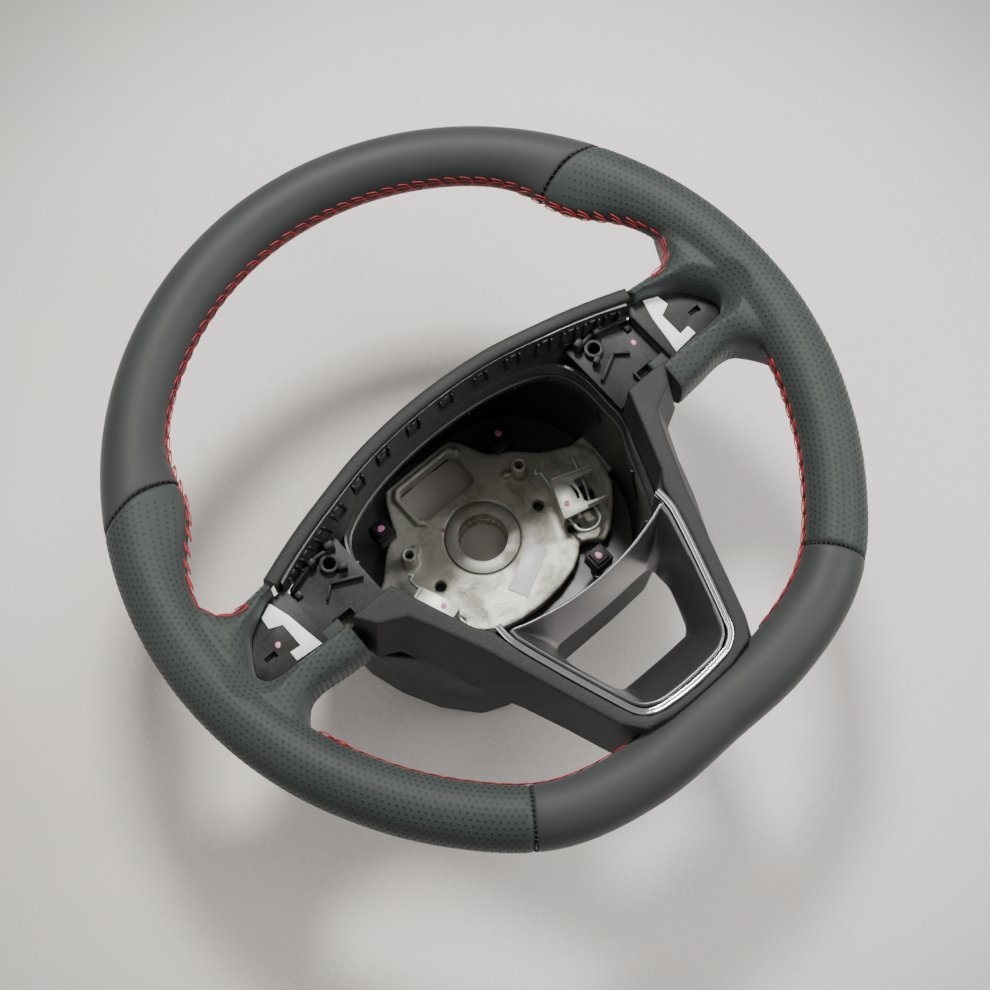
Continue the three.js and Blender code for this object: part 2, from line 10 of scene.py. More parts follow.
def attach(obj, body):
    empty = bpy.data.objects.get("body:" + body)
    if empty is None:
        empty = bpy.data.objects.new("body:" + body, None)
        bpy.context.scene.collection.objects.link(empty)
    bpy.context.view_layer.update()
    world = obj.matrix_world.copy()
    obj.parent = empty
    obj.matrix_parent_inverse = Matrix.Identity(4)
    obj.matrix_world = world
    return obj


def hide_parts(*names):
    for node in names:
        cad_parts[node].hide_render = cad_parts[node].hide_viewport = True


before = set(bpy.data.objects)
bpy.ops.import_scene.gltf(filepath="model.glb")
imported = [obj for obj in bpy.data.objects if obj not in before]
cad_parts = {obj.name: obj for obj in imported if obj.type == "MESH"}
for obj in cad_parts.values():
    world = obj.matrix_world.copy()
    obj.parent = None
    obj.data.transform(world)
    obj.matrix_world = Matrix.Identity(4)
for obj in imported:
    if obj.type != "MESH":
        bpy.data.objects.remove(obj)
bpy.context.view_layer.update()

# ---- camera ----
# A short telephoto view from above and to the left of the wheel's lower half. The wheel lies on
# its rear cover, face up, so the lens looks down on it about 20 degrees off the steering axis.


def new_object(name, data):
    made = bpy.data.objects.new(name, data)
    bpy.context.scene.collection.objects.link(made)
    return made


camera = new_object("camera", bpy.data.cameras.new("camera"))
camera.location = (-0.2026, -0.2521, 0.9604)
camera.rotation_euler = Euler([math.radians(a) for a in (20.208, 0.402, -41.143)])
camera.data.lens = 66.14
camera.data.sensor_width = 36
bpy.context.scene.camera = camera

# ---- floor and lights ----
# A sheet of pale felt under a wide soft box. The felt has a fine nap. Beyond 25 cm from a point near the
# wheel's middle its colour is darkened by a painted shade, standing in for the lamps' fall-off.
MM = 0.001


def add_node(tree, kind, sockets=None, **settings):
    node = tree.nodes.new(kind)
    for key, value in settings.items():
        setattr(node, key, value)
    for key, value in (sockets or {}).items():
        if isinstance(value, bpy.types.NodeSocket):
            tree.links.new(value, node.inputs[key])
        else:
            node.inputs[key].default_value = value
    return node


def mix_colour(tree, factor, first, second):
    return add_node(tree, "ShaderNodeMix", {0: factor, 6: first, 7: second}, data_type="RGBA").outputs[2]


def ramp(tree, value, low, high, to_low=0.0, to_high=1.0, **settings):
    node = add_node(tree, "ShaderNodeMapRange", {"Value": value, "From Min": low, "From Max": high,
                                                 "To Min": to_low, "To Max": to_high}, **settings)
    return node.outputs["Result"]


def noise(tree, place, scale, detail, **sockets):
    node = add_node(tree, "ShaderNodeTexNoise", {"Vector": place, "Scale": scale, "Detail": detail, **sockets})
    return node.outputs["Fac"]


def reckon(tree, operation, first, second):
    return add_node(tree, "ShaderNodeMath", {0: first, 1: second}, operation=operation).outputs[0]


def start_material(name):
    made = bpy.data.materials.new(name)
    made.use_nodes = True
    tree = made.node_tree
    place = add_node(tree, "ShaderNodeTexCoord").outputs["Object"]
    return made, tree, tree.nodes["Principled BSDF"], place


def finish_material(tree, shader, colour, roughness, height, strength, depth, **sockets):
    """Wires a colour, a roughness and a bump of a height in metres, and sets the shader's plain sockets."""
    bump = add_node(tree, "ShaderNodeBump", {"Height": height, "Strength": strength, "Distance": depth})
    for label, value in (("Base Color", colour), ("Roughness", roughness), ("Normal", bump.outputs["Normal"])):
        if isinstance(value, bpy.types.NodeSocket):
            tree.links.new(value, shader.inputs[label])
        else:
            shader.inputs[label].default_value = value
    for label, value in sockets.items():
        shader.inputs[label.replace("_", " ")].default_value = value


def felt_floor():
    made, tree, shader, place = start_material("felt_floor")
    nap, cloud = noise(tree, place, 420.0, 6.0), noise(tree, place, 14.0, 3.0)
    # Painted shade: the felt's colour is darkened with distance from a point near the wheel's middle.
    away = add_node(tree, "ShaderNodeVectorMath", {0: place, 1: (0.03, 0.02, 0.0)},
                    operation="DISTANCE").outputs["Value"]
    painted_shade_falloff = ramp(tree, away, 0.25, 0.5, interpolation_type="SMOOTHSTEP")
    tone = mix_colour(tree, ramp(tree, nap, 0.3, 0.7), (0.72, 0.675, 0.64, 1), (0.82, 0.78, 0.745, 1))
    tone = mix_colour(tree, ramp(tree, cloud, 0.35, 0.65), tone, (0.80, 0.75, 0.71, 1))
    tone = mix_colour(tree, painted_shade_falloff, tone, (0.27, 0.26, 0.25, 1))
    finish_material(tree, shader, tone, 0.95, nap, 0.35, 0.0006, Specular_IOR_Level=0.1)
    return made


def new_piece(name, points, faces):
    """A mesh object from points in millimetres."""
    mesh = bpy.data.meshes.new(name)
    mesh.from_pydata([(x * MM, y * MM, z * MM) for x, y, z in points], [], faces)
    return new_object(name, mesh)


FLOOR_REACH = 3000
floor = new_piece("floor", [(x * FLOOR_REACH, y * FLOOR_REACH, -0.5) for x, y in ((-1, -1), (1, -1), (1, 1), (-1, 1))],
                  [(0, 1, 2, 3)])
floor.data.materials.append(felt_floor())


LAMPS_FACE = (0.0, 0.0, 0.1)


def soft_box(name, place, size, watts, colour):
    lamp = bpy.data.lights.new(name, "AREA")
    lamp.shape = "RECTANGLE"
    lamp.size, lamp.size_y = size
    lamp.energy = watts
    lamp.color = colour
    holder = new_object(name, lamp)
    holder.location = place
    holder.rotation_euler = (Vector(LAMPS_FACE) - Vector(place)).to_track_quat("-Z", "Y").to_euler()


soft_box("overhead_box", (0.45, 0.62, 1.35), (0.3, 0.28), 27, (1.0, 0.985, 0.96))
soft_box("side_box", (-1.25, 0.45, 0.85), (0.8, 1.2), 7, (0.95, 0.985, 1.0))
soft_box("low_box", (0.85, -0.62, 1.0), (0.9, 0.6), 17, (0.97, 0.98, 1.0))
world = bpy.data.worlds.new("studio")
bpy.context.scene.world = world
world.use_nodes = True
sky = world.node_tree
height = add_node(sky, "ShaderNodeSeparateXYZ", {0: add_node(sky, "ShaderNodeTexCoord").outputs["Generated"]})
band = ramp(sky, height.outputs["Z"], -0.1, 0.75)
sky.links.new(mix_colour(sky, band, (0.22, 0.19, 0.17, 1), (0.78, 0.74, 0.70, 1)),
              sky.nodes["Background"].inputs["Color"])
sky.nodes["Background"].inputs["Strength"].default_value = 0.42

# ---- cast armature ----
# A magnesium die casting: the hub plate, the two rising arms and, hidden in the rim, the core
# ring. Its surface is pale grey and rough, with dark blotches left by the mould.


@contextmanager
def reshaped(piece):
    """Opens a piece's mesh for editing, and puts it back."""
    shape = bmesh.new()
    shape.from_mesh(piece.data)
    yield shape
    shape.to_mesh(piece.data)
    shape.free()


def copy_of(node, name):
    """A merged copy of a CAD node's mesh, as a new object at the origin."""
    piece = new_object(name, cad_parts[node].data.copy())
    piece.data.materials.clear()
    with reshaped(piece) as shape:
        bmesh.ops.remove_doubles(shape, verts=shape.verts, dist=2e-6)
        bmesh.ops.dissolve_limit(shape, angle_limit=math.radians(1.0), verts=shape.verts, edges=shape.edges)
        bmesh.ops.triangulate(shape, faces=[f for f in shape.faces if len(f.verts) > 4])
    return piece


def settle(piece):
    """Turns the piece's modifiers into plain mesh."""
    graph = bpy.context.evaluated_depsgraph_get()
    made = bpy.data.meshes.new_from_object(piece.evaluated_get(graph))
    piece.modifiers.clear()
    piece.data = made
    return piece


def soften(piece, voxel, rounds):
    """Rebuilds a closed piece on a fine grid and rounds its edges, as a mould's corners are."""
    grid = piece.modifiers.new("grid", "REMESH")
    grid.mode = "VOXEL"
    grid.voxel_size = voxel * MM
    easing = piece.modifiers.new("easing", "SMOOTH")
    easing.factor = 0.5
    easing.iterations = rounds
    return settle(piece)


def round_edges(piece, width, segments=2):
    """Bevels the edges that turn by more than 35 degrees."""
    bevel = piece.modifiers.new("edges", "BEVEL")
    bevel.width = width * MM
    bevel.segments = segments
    bevel.limit_method = "ANGLE"
    bevel.angle_limit = math.radians(35)
    bevel.use_clamp_overlap = True
    return settle(piece)


def shade(piece, angle=None):
    piece.data.polygons.foreach_set("use_smooth", [True] * len(piece.data.polygons))
    if angle:
        piece.data.set_sharp_from_angle(angle=math.radians(angle))


def install(piece, finish, slot, *nodes, body="wheel", angle=None):
    """Gives a piece its finish and fixes it to its body, in place of its CAD nodes."""
    piece.data.materials.clear()
    piece.data.materials.append(finish)
    shade(piece, angle)
    if nodes:
        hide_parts(*nodes)
    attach(piece, body)
    return piece


def skin_group(name, colours, values):
    """An empty group that takes a place, colours and values, and the links to its two ends."""
    group = bpy.data.node_groups.new(name, "ShaderNodeTree")
    sockets = [("Vector", "INPUT", "Vector")] + [(label, "INPUT", "Color") for label in colours]
    sockets += [(label, "INPUT", "Float") for label in values]
    sockets += [("Color", "OUTPUT", "Color"), ("Roughness", "OUTPUT", "Float"), ("Height", "OUTPUT", "Float")]
    for label, way, kind in sockets:
        group.interface.new_socket(label, in_out=way, socket_type="NodeSocket" + kind)
    return group, group.nodes.new("NodeGroupInput").outputs, group.nodes.new("NodeGroupOutput").inputs


def put_out(group, out, colour, roughness, height):
    for label, value in (("Color", colour), ("Roughness", roughness), ("Height", height)):
        group.links.new(value, out[label])
    return group


def skin_material(name, group, values, strength, depth, **sockets):
    """A material whose colour, roughness and bump come from a skin group with its own values."""
    made, tree, shader, place = start_material(name)
    grain = add_node(tree, "ShaderNodeGroup", node_tree=group)
    for label, value in values.items():
        grain.inputs[label].default_value = value
    tree.links.new(place, grain.inputs["Vector"])
    finish_material(tree, shader, grain.outputs["Color"], grain.outputs["Roughness"], grain.outputs["Height"],
                    strength, depth, **sockets)
    return made


def cast_group():
    """Rough die-cast skin: blotched colour, roughness and height."""
    group, into, out = skin_group("cast_skin", ("Clean", "Stained"), ("Grain",))
    blotch = noise(group, into["Vector"], 55.0, 7.0, Roughness=0.62, Distortion=0.6)
    grain = noise(group, into["Vector"], into["Grain"], 4.0)
    tone = mix_colour(group, ramp(group, blotch, 0.47, 0.66), into["Clean"], into["Stained"])
    tone = mix_colour(group, ramp(group, grain, 0.42, 0.62, 0.0, 0.22), tone, (0.85, 0.84, 0.80, 1))
    return put_out(group, out, tone, ramp(group, blotch, 0.35, 0.7, 0.42, 0.66),
                   reckon(group, "ADD", grain, blotch))


CAST_SKIN = cast_group()


def cast_metal(name, clean, stained, grain=700.0, metal=0.55, depth=0.00025):
    return skin_material(name, CAST_SKIN, {"Clean": clean, "Stained": stained, "Grain": grain}, 0.5, depth,
                         Metallic=metal)


MAGNESIUM = cast_metal("magnesium_casting", (0.62, 0.60, 0.52, 1), (0.36, 0.35, 0.29, 1))

ARM_END = 116  # the arms' hidden ends, and the core ring with them, are left out
CORE_RING = 125
PLATE_FACE = 15.05
armature = copy_of("armature", "armature_casting")
with reshaped(armature) as shape:
    for side in (-1, 1):
        bmesh.ops.bisect_plane(shape, geom=shape.verts[:] + shape.edges[:] + shape.faces[:],
                               plane_co=(side * ARM_END * MM, 0, 0), plane_no=(side, 0, 0), clear_outer=True)
        bmesh.ops.holes_fill(shape, edges=[e for e in shape.edges if e.is_boundary])
    ring_part = [v for v in shape.verts if math.hypot(v.co.x, v.co.y) > CORE_RING * MM]
    bmesh.ops.delete(shape, geom=ring_part, context="VERTS")
soften(armature, 0.9, 2)
for vertex in armature.data.vertices:
    x, y, z = vertex.co / MM
    if -18.5 < x < 27 and 20 < y < 46.5 and z > PLATE_FACE:  # only the window's upper and left sides have a rim
        vertex.co.z = PLATE_FACE * MM
install(armature, MAGNESIUM, "cast_metal", "armature")

# ---- hub bush ----
# The steel bush that the casting grips. Its lower bore is splined for the column, its upper
# bore and face are turned.
STEEL = cast_metal("turned_steel", (0.55, 0.54, 0.50, 1), (0.40, 0.36, 0.29, 1), 1500.0, 0.85, 0.00008)
bush = round_edges(copy_of("hub_bush", "hub_bush_turned"), 0.5)
install(bush, STEEL, "hub_steel", "hub_bush", angle=40)

# ---- black moulded plastics ----
# The rear cover, the airbag well and the switch carriers are glass-filled plastic. Each has its
# own moulded grain, with a little pale dust on it.


def grain_group():
    """Moulded cells under a fine wander, with specks of dust and a patchy gloss."""
    group, into, out = skin_group("moulded_grain", ("Base", "Dust"),
                                  ("Cells", "Dust amount", "Gloss low", "Gloss high"))
    place = into["Vector"]
    cells = add_node(group, "ShaderNodeTexVoronoi", {"Vector": place, "Scale": into["Cells"]},
                     feature="SMOOTH_F1").outputs["Distance"]
    speck = noise(group, place, 160.0, 8.0, Roughness=0.75)
    dust = reckon(group, "MULTIPLY", ramp(group, speck, 0.55, 0.75), into["Dust amount"])
    tone = mix_colour(group, ramp(group, cells, 0.0, 0.7, 0.0, 0.35), into["Base"],
                      mix_colour(group, 0.12, into["Base"], into["Dust"]))
    tone = mix_colour(group, dust, tone, into["Dust"])
    gloss = ramp(group, noise(group, place, 18.0, 3.0), 0.3, 0.7, into["Gloss low"], into["Gloss high"])
    return put_out(group, out, tone, gloss, reckon(group, "ADD", cells, noise(group, place, 900.0, 2.0)))


MOULDED_GRAIN = grain_group()
PALE_DUST = (0.30, 0.30, 0.28, 1)


def moulded(name, base, cells, dust, gloss, depth, strength, shine=0.2):
    return skin_material(name, MOULDED_GRAIN, {"Base": (*base, 1), "Dust": PALE_DUST, "Cells": cells,
                                               "Dust amount": dust, "Gloss low": gloss[0], "Gloss high": gloss[1]},
                         strength, depth, Specular_IOR_Level=shine)


GRAINED = moulded("grained_plastic", (0.022, 0.024, 0.023), 1150.0, 0.02, (0.52, 0.64), 0.00022, 0.55)
WELL_BLACK = moulded("well_plastic", (0.014, 0.017, 0.016), 500.0, 0.10, (0.28, 0.42), 0.00006, 0.25, 0.6)
CARRIER_BLACK = moulded("carrier_plastic", (0.009, 0.011, 0.010), 620.0, 0.02, (0.38, 0.52), 0.00008, 0.3)
COVER_BLACK = moulded("cover_plastic", (0.026, 0.028, 0.027), 900.0, 0.12, (0.45, 0.6), 0.00018, 0.5)
BLOCK_BLACK = moulded("block_plastic", (0.010, 0.010, 0.010), 600.0, 0.1, (0.38, 0.5), 0.00006, 0.3)

# ---- rear cover ----
# The shell behind the hub, one moulding with a broad waist and an open back where the column
# passes through.
cover = soften(copy_of("rear_cover", "rear_cover_shell"), 1.2, 16)
install(cover, COVER_BLACK, "cover_plastic", "rear_cover")

# ---- airbag well ----
# The deep black bowl round the hub, open to the driver. It is a thin moulding with a step round
# its wall, a floor cut away for the casting, and stiffening ribs.
WELL_TOP = [(0, 37.5), (33, 35), (57, 28.5), (70, 20), (75.3, 6), (75.3, -12), (74.6, -24), (69, -36),
            (57.5, -64), (48, -72.5), (24, -80), (0, -82)]
WELL_FOOT = [(0, 62), (33, 60), (58, 50), (74, 32), (80.5, 10), (81, -10), (78, -30), (70, -46), (58, -60),
             (46, -68), (24, -73), (0, -74)]
WELL_WINDOW = [(-21, 29), (-18, 26), (18, 26), (21, 29), (21, 48), (18, 51), (-18, 51), (-21, 48)]


def both(half):
    """The whole outline from its right half, listed from 12 o'clock to 6 o'clock."""
    return half + [(-x, y) for x, y in reversed(half[1:-1])]


def smooth_line(points, count, closed=False):
    """A Catmull-Rom line through points of any dimension, resampled to count points of even parameter."""
    made = []
    last = len(points) if closed else len(points) - 1
    for i in range(count):
        t = i * last / (count if closed else count - 1)
        k = min(int(t), last - 1)
        f = t - k
        if closed:
            p = [points[(k + j) % len(points)] for j in (-1, 0, 1, 2)]
        else:
            p = [points[min(max(k + j, 0), last)] for j in (-1, 0, 1, 2)]
        made.append(tuple(
            0.5 * (2 * b + (c - a) * f + (2 * a - 5 * b + 4 * c - d) * f * f + (3 * b - a - 3 * c + d) * f ** 3)
            for a, b, c, d in zip(*p)))
    return made


def tidy_normals(piece):
    with reshaped(piece) as shape:
        bmesh.ops.remove_doubles(shape, verts=shape.verts, dist=1e-6)
        bmesh.ops.recalc_face_normals(shape, faces=shape.faces)


def skin(name, rings, loop=False):
    """A closed skin through rings of equally many points, capped, or joined end to end."""
    n, m = len(rings), len(rings[0])
    faces = [(i * m + k, i * m + (k + 1) % m, (i + 1) % n * m + (k + 1) % m, (i + 1) % n * m + k)
             for i in range(n if loop else n - 1) for k in range(m)]
    if not loop:
        faces += [tuple(reversed(range(m))), tuple(range((n - 1) * m, n * m))]
    made = new_piece(name, [p for r in rings for p in r], faces)
    tidy_normals(made)
    return made


def grown(outline, distance):
    """Moves a closed, anticlockwise or clockwise outline outwards."""
    n = len(outline)
    area = sum(outline[i][0] * outline[(i + 1) % n][1] - outline[(i + 1) % n][0] * outline[i][1] for i in range(n))
    made = []
    for i, (x, y) in enumerate(outline):
        dx = outline[(i + 1) % n][0] - outline[i - 1][0]
        dy = outline[(i + 1) % n][1] - outline[i - 1][1]
        size = math.hypot(dx, dy) * (1 if area > 0 else -1)
        made.append((x + distance * dy / size, y - distance * dx / size))
    return made


def prism(name, outline, low, high):
    return skin(name, [[(x, y, z) for x, y in outline] for z in (low, high)])


def cut_by(piece, *tools):
    for tool in tools:
        cut = piece.modifiers.new("cut", "BOOLEAN")
        cut.object = tool
        cut.operation = "DIFFERENCE"
        cut.solver = "EXACT"
        settle(piece)
        bpy.data.objects.remove(tool)
    return piece


def join(name, *pieces):
    """One object from several closed pieces."""
    made = new_piece(name, [], [])
    with reshaped(made) as shape:
        for piece in pieces:
            shape.from_mesh(piece.data)
    for piece in pieces:
        bpy.data.objects.remove(piece)
    return made


def circle(radius, sides):
    return [(radius * math.cos(2 * math.pi * k / sides), radius * math.sin(2 * math.pi * k / sides))
            for k in range(sides)]


FLOOR_CUT = 12
STEM_BORE = 3.5


def disc(name, x, y, radius):
    """A plug through the bowl's floor."""
    return prism(name, [(x + a, y + b) for a, b in circle(radius, 32)], 0, FLOOR_CUT)


def arm_slot(left, right):
    return prism("arm_slot", [(left, -17.3), (right, -17.3), (right, 9.3), (left, 9.3)], 4, 15.3)


BLOCK_PLACES = [(42, 34.5), (-42, 34.5), (36, -54), (-36, -54)]


def well_ring(z, offset):
    """The bowl's outline at a height: the foot's below 45 mm, the mouth's above 97 mm, eased between."""
    share = min(1.0, max(0.0, (z - 45) / 52))
    share = share * share * (3 - 2 * share)
    foot, top = smooth_line(both(WELL_FOOT), 132, True), smooth_line(both(WELL_TOP), 132, True)
    line = [(a[0] + (b[0] - a[0]) * share, a[1] + (b[1] - a[1]) * share) for a, b in zip(foot, top)]
    return [(x, y, z) for x, y in grown(line, offset)]


outside = [well_ring(z, 1.8) for z in (5.2, 20, 34, 45, 55, 65, 75, 85, 92, 100, 107.2)]
inside = [well_ring(z, d) for z, d in ((107.5, 1.5), (107.5, 0.3), (107.2, 0.0), (97.6, 0.0), (97.0, -0.2),
                                       (96.6, -1.1), (92, -1.2), (85, -1.0), (75, -0.4), (65, 0.0), (55, 0.0),
                                       (45, 0.0), (34, 0.0), (20, 0.0), (9, -0.3), (7.4, -1.2), (7.0, -3.0))]
well = skin("airbag_well_bowl", outside + inside)
cut_by(well, disc("hub_hole", 0, 0, 30), prism("window_hole", WELL_WINDOW, 0, FLOOR_CUT),
       arm_slot(60, 92), arm_slot(-92, -60), *[disc("stem_bore", x, y, STEM_BORE) for x, y in BLOCK_PLACES])
install(well, WELL_BLACK, "well_plastic", "airbag_well", angle=32)


def well_ribs():
    """Upright ribs on the wall, more of them above the casting than below."""
    ribs = []
    ring_low, ring_high = well_ring(60, -0.3), well_ring(94, -1.0)
    for k in [*range(4, 34, 6), *range(98, 128, 6), 44, 52, 80, 88]:
        (x0, y0, _), (x1, y1, _) = ring_low[k], ring_high[k]
        (xa, ya, _), (xb, yb, _) = ring_low[k - 1], ring_low[k + 1]
        along = Vector((xb - xa, yb - ya)).normalized() * 0.6
        into = Vector((-x0, -y0 - 5)).normalized() * 1.4
        foot = [(x0 - along.x, y0 - along.y), (x0 + along.x, y0 + along.y),
                (x0 + along.x + into.x, y0 + along.y + into.y), (x0 - along.x + into.x, y0 - along.y + into.y)]
        ribs.append(skin("rib", [[(x, y, 60) for x, y in foot],
                                 [(x + (x1 - x0), y + (y1 - y0), 93.5) for x, y in foot]]))
    return join("airbag_well_ribs", *ribs)


install(well_ribs(), WELL_BLACK, "well_plastic", angle=30)

# ---- sprung contact blocks ----
# Four black plastic blocks that carry the airbag module and close the horn contacts. Each has a
# dab of pink inspection paint on its crown.


def flat_material(name, colour, roughness, spread=0.15, scale=300.0, metal=0.0):
    """One even colour with a fine mottle, dimmed by up to the spread."""
    made, tree, shader, place = start_material(name)
    mottle = noise(tree, place, scale, 5.0)
    dim = tuple(c * (1 - spread) for c in colour)
    finish_material(tree, shader, mix_colour(tree, mottle, (*dim, 1), (*colour, 1)),
                    ramp(tree, mottle, 0.3, 0.7, roughness - 0.06, roughness + 0.06), mottle, 0.2, 0.0001,
                    Metallic=metal)
    return made


PINK_PAINT = flat_material("pink_paint", (0.80, 0.26, 0.50), 0.4)


def paint_dab(name, x, y, z, radius, body="wheel", height=0.35):
    """A low irregular drop of paint."""
    sides = 18
    rings = []
    for reach, lift in ((1.0, 0.0), (0.92, 0.45), (0.66, 0.85), (0.3, 1.0)):
        turns = [2 * math.pi * k / sides for k in range(sides)]
        reaches = [radius * reach * (1 + 0.10 * math.sin(2 * t + x) + 0.06 * math.sin(3 * t + y)) for t in turns]
        rings.append([(x + r * math.cos(t), y + r * math.sin(t), z + height * lift) for t, r in zip(turns, reaches)])
    return install(skin(name, rings), PINK_PAINT, "block_plastic", body=body)


BLOCK_TOP = 35.0
for tag, (x, y) in zip(("upper_right", "upper_left", "lower_right", "lower_left"), BLOCK_PLACES):
    body = "contact_block_" + tag
    moulding = round_edges(copy_of(body, body + "_moulding"), 0.8, 3)
    install(moulding, BLOCK_BLACK, "block_plastic", body, body=body, angle=40)
    paint_dab("paint_dab_" + tag, x - 0.3, y + 0.2, BLOCK_TOP, 2.0, body=body)

# ---- spring brackets and wire springs ----
# Two folded zinc-plated brackets on the casting, each with a bent spring wire that snaps over
# the airbag's hooks. The plate is open on its outer side, between two folded rails.
ZINC = cast_metal("zinc_plate", (0.68, 0.67, 0.60, 1), (0.52, 0.52, 0.46, 1), 1200.0, 0.6, 0.00005)
WIRE = cast_metal("zinc_wire", (0.60, 0.70, 0.66, 1), (0.46, 0.54, 0.50, 1), 1600.0, 0.8, 0.00003)
BRACKET_X, BRACKET_Y = 55, -17
BRACKET_TURN = math.radians(-21)
WIRE_LINE = [(-17.4, 20.5, 23.5), (-18.0, 18.2, 23), (-15.6, 18.2, 22.6), (-14.6, 15.5, 22.5), (-13.2, 9.7, 22.5),
             (-12.0, 0, 22.5), (-10.8, -9, 22.5), (-9.2, -14.6, 22.5), (-7.7, -19.5, 22.5), (-3.8, -22.1, 22.5),
             (2.2, -21.6, 22.5), (5.9, -18, 22.5), (6.2, -12.5, 22.5), (4.2, -7.1, 22.5), (4.6, -0.5, 22.5),
             (4.8, 5.6, 22.8), (4.5, 12.3, 23.2), (4.3, 20.4, 23.5)]
BRACKET_PLATE = [(-13.2, 9.4), (-11.8, 10.2), (11.6, 10.2), (12.2, 9.4), (11.8, 7.2), (-0.6, 5.6), (-1.2, 4.6),
                 (-0.2, 2.4), (0.4, -4.4), (0.4, -7.4), (1.4, -8.4), (13.4, -8.4), (14.0, -9.2), (13.6, -11.2),
                 (-12.6, -14.2), (-13.8, -13.2)]


def at_bracket(x, y, side):
    """A point of a bracket, from its own middle and slant to the wheel's axes."""
    across = BRACKET_X + x * math.cos(BRACKET_TURN) - y * math.sin(BRACKET_TURN)
    along = BRACKET_Y + x * math.sin(BRACKET_TURN) + y * math.cos(BRACKET_TURN)
    return side * across, along


def sweep(name, line, profile):
    """A closed profile of (across, up) points carried along a line of points, with capped ends."""
    rings = []
    for i, here in enumerate(line):
        along = (Vector(line[min(i + 1, len(line) - 1)]) - Vector(line[max(i - 1, 0)])).normalized()
        across = along.cross(Vector((0, 0, 1))).normalized()
        rise = across.cross(along)
        rings.append([tuple(Vector(here) + across * a + rise * b) for a, b in profile])
    return skin(name, rings)


def bracket_prism(outline, low, high, side):
    return prism("fold", [at_bracket(x, y, side) for x, y in outline], low, high)


TAB_SLOT = [(-3.8, 3.4), (-2.9, 3.6), (-1.7, 1.4), (-1.1, -1.6), (-1.3, -5.2), (-2.9, -5.2), (-2.7, -2.4),
            (-3.2, 0.6)]
RAILS = [[(-12.6, 8.9), (11.9, 9.0), (11.9, 10.3), (-12.6, 10.3)],
         [(1.0, -9.7), (13.8, -9.0), (13.9, -10.5), (0.9, -11.5)]]
LEGS = [[(-13.7, -13.2), (-12.4, -13.2), (-11.8, 9.4), (-13.1, 9.4)],
        [(12.3, -11.0), (13.5, -11.0), (13.5, -8.8), (12.3, -8.8)],
        [(10.6, 8.4), (11.8, 8.4), (11.8, 10.1), (10.6, 10.1)]]
TAB = [(-2.4, 2.6, 27.6), (-1.2, 0.6, 28.4), (-0.7, -2.0, 28.6), (-0.9, -4.6, 28.0)]
PLATE_LOW, PLATE_HIGH = 28, 29.4


def spring_bracket(side):
    plate = bracket_prism(BRACKET_PLATE, PLATE_LOW, PLATE_HIGH, side)
    cut_by(plate, bracket_prism(TAB_SLOT, PLATE_LOW - 8, PLATE_HIGH + 10.6, side))
    parts = [round_edges(plate, 0.4)]
    parts += [round_edges(bracket_prism(rail, 28.6, 31.4, side), 0.35) for rail in RAILS]
    parts += [round_edges(bracket_prism(leg, 15.15, 28.6, side), 0.3) for leg in LEGS]
    tab = [(*at_bracket(x, y, side), z) for x, y, z in TAB]
    parts.append(sweep("tab", smooth_line(tab, 16), [(-0.5, -0.9), (0.5, -0.9), (0.5, 0.9), (-0.5, 0.9)]))
    return join("spring_bracket_folded_" + ("right" if side > 0 else "left"), *parts)


SIDES = ((1, "right"), (-1, "left"))
for side, tag in SIDES:
    install(spring_bracket(side), ZINC, "bracket_steel", "spring_bracket_" + tag, angle=40)
    line = [(*at_bracket(x, y, side), z) for x, y, z in WIRE_LINE]
    wire = sweep("wire_spring_bent_" + tag, smooth_line(line, 150), circle(1.05, 12))
    install(wire, WIRE, "wire_steel", "wire_spring_" + tag, body="wire_spring_" + tag)

# ---- label and paint marks ----
# A blank paper label stuck across the hub plate, and the inspector's pink dots.
PAPER = flat_material("label_paper", (0.94, 0.95, 0.95), 0.35, 0.03, 900.0)
label = round_edges(copy_of("label", "blank_label"), 0.1)
install(label, PAPER, "label_paper", "label", angle=30)
for side, tag in SIDES:
    paint_dab("paint_dab_bracket_" + tag, *at_bracket(-9.4, -6.0, side), 29.35, 1.6, height=0.3)
paint_dab("paint_dab_plate", -13.6, 17.6, 15.0, 1.3, height=0.2)

# ---- switch carriers and adhesive pads ----
# Black carriers screwed into the spokes under the missing switch panels, with white foam tape
# left on them.
TAPE = flat_material("white_tape", (0.93, 0.95, 0.95), 0.45, 0.04, 500.0)


SHELF = 114.8
CARRIER_STRIPS = [  # outline, lower height, upper height, edge radius
    ([(79, 17.5), (90, 19.5), (102, 16.6), (110.5, 13.6), (110.0, 12.0), (101, 14.8), (90, 17.6), (80, 15.9)],
     SHELF, 119.5, 0.3),
    ([(78, -3), (93, 4.5), (93.6, 3.2), (78.8, -4.4)], SHELF, 118.4, 0.3),
    ([(93, 4.5), (100, -1), (99.2, -2.1), (92.4, 3.4)], SHELF, 117.8, 0.3),
    ([(92.6, -11.2), (104.5, -11.2), (104.5, -12.3), (93.8, -12.3), (93.8, -19.2), (92.6, -19.2)], SHELF, 118.6, 0.3),
    ([(103.3, -12.3), (104.5, -12.3), (104.5, -19.2), (103.3, -19.2)], SHELF, 118.0, 0.3),
    ([(82, 3.5), (86, 5.5), (84.6, 8.2), (80.6, 6.2)], SHELF, 121.0, 0.6),
    ([(80, 16), (84.5, 17), (84, 20.5), (79, 19.5)], 112.0, 122.5, 0.7),
    ([(91.5, 16), (95.5, 15.4), (95.8, 18.6), (91.8, 19.4)], 112.0, 121.5, 0.7),
    ([(106.5, 8), (110, 8), (110, 11.5), (106.5, 11.5)], SHELF, 117.0, 0.5)]
CARRIER_DABS = {"right": (105.5, 2.0, 115.0), "left": (-132, -4.9, 122.0)}


def carrier_fittings(side, name):
    """Ridges, a screw tower and clips moulded on the carrier's inner shelf."""
    return join(name, *[round_edges(prism("strip", [(side * x, y) for x, y in outline], low, high), edge)
                        for outline, low, high, edge in CARRIER_STRIPS])


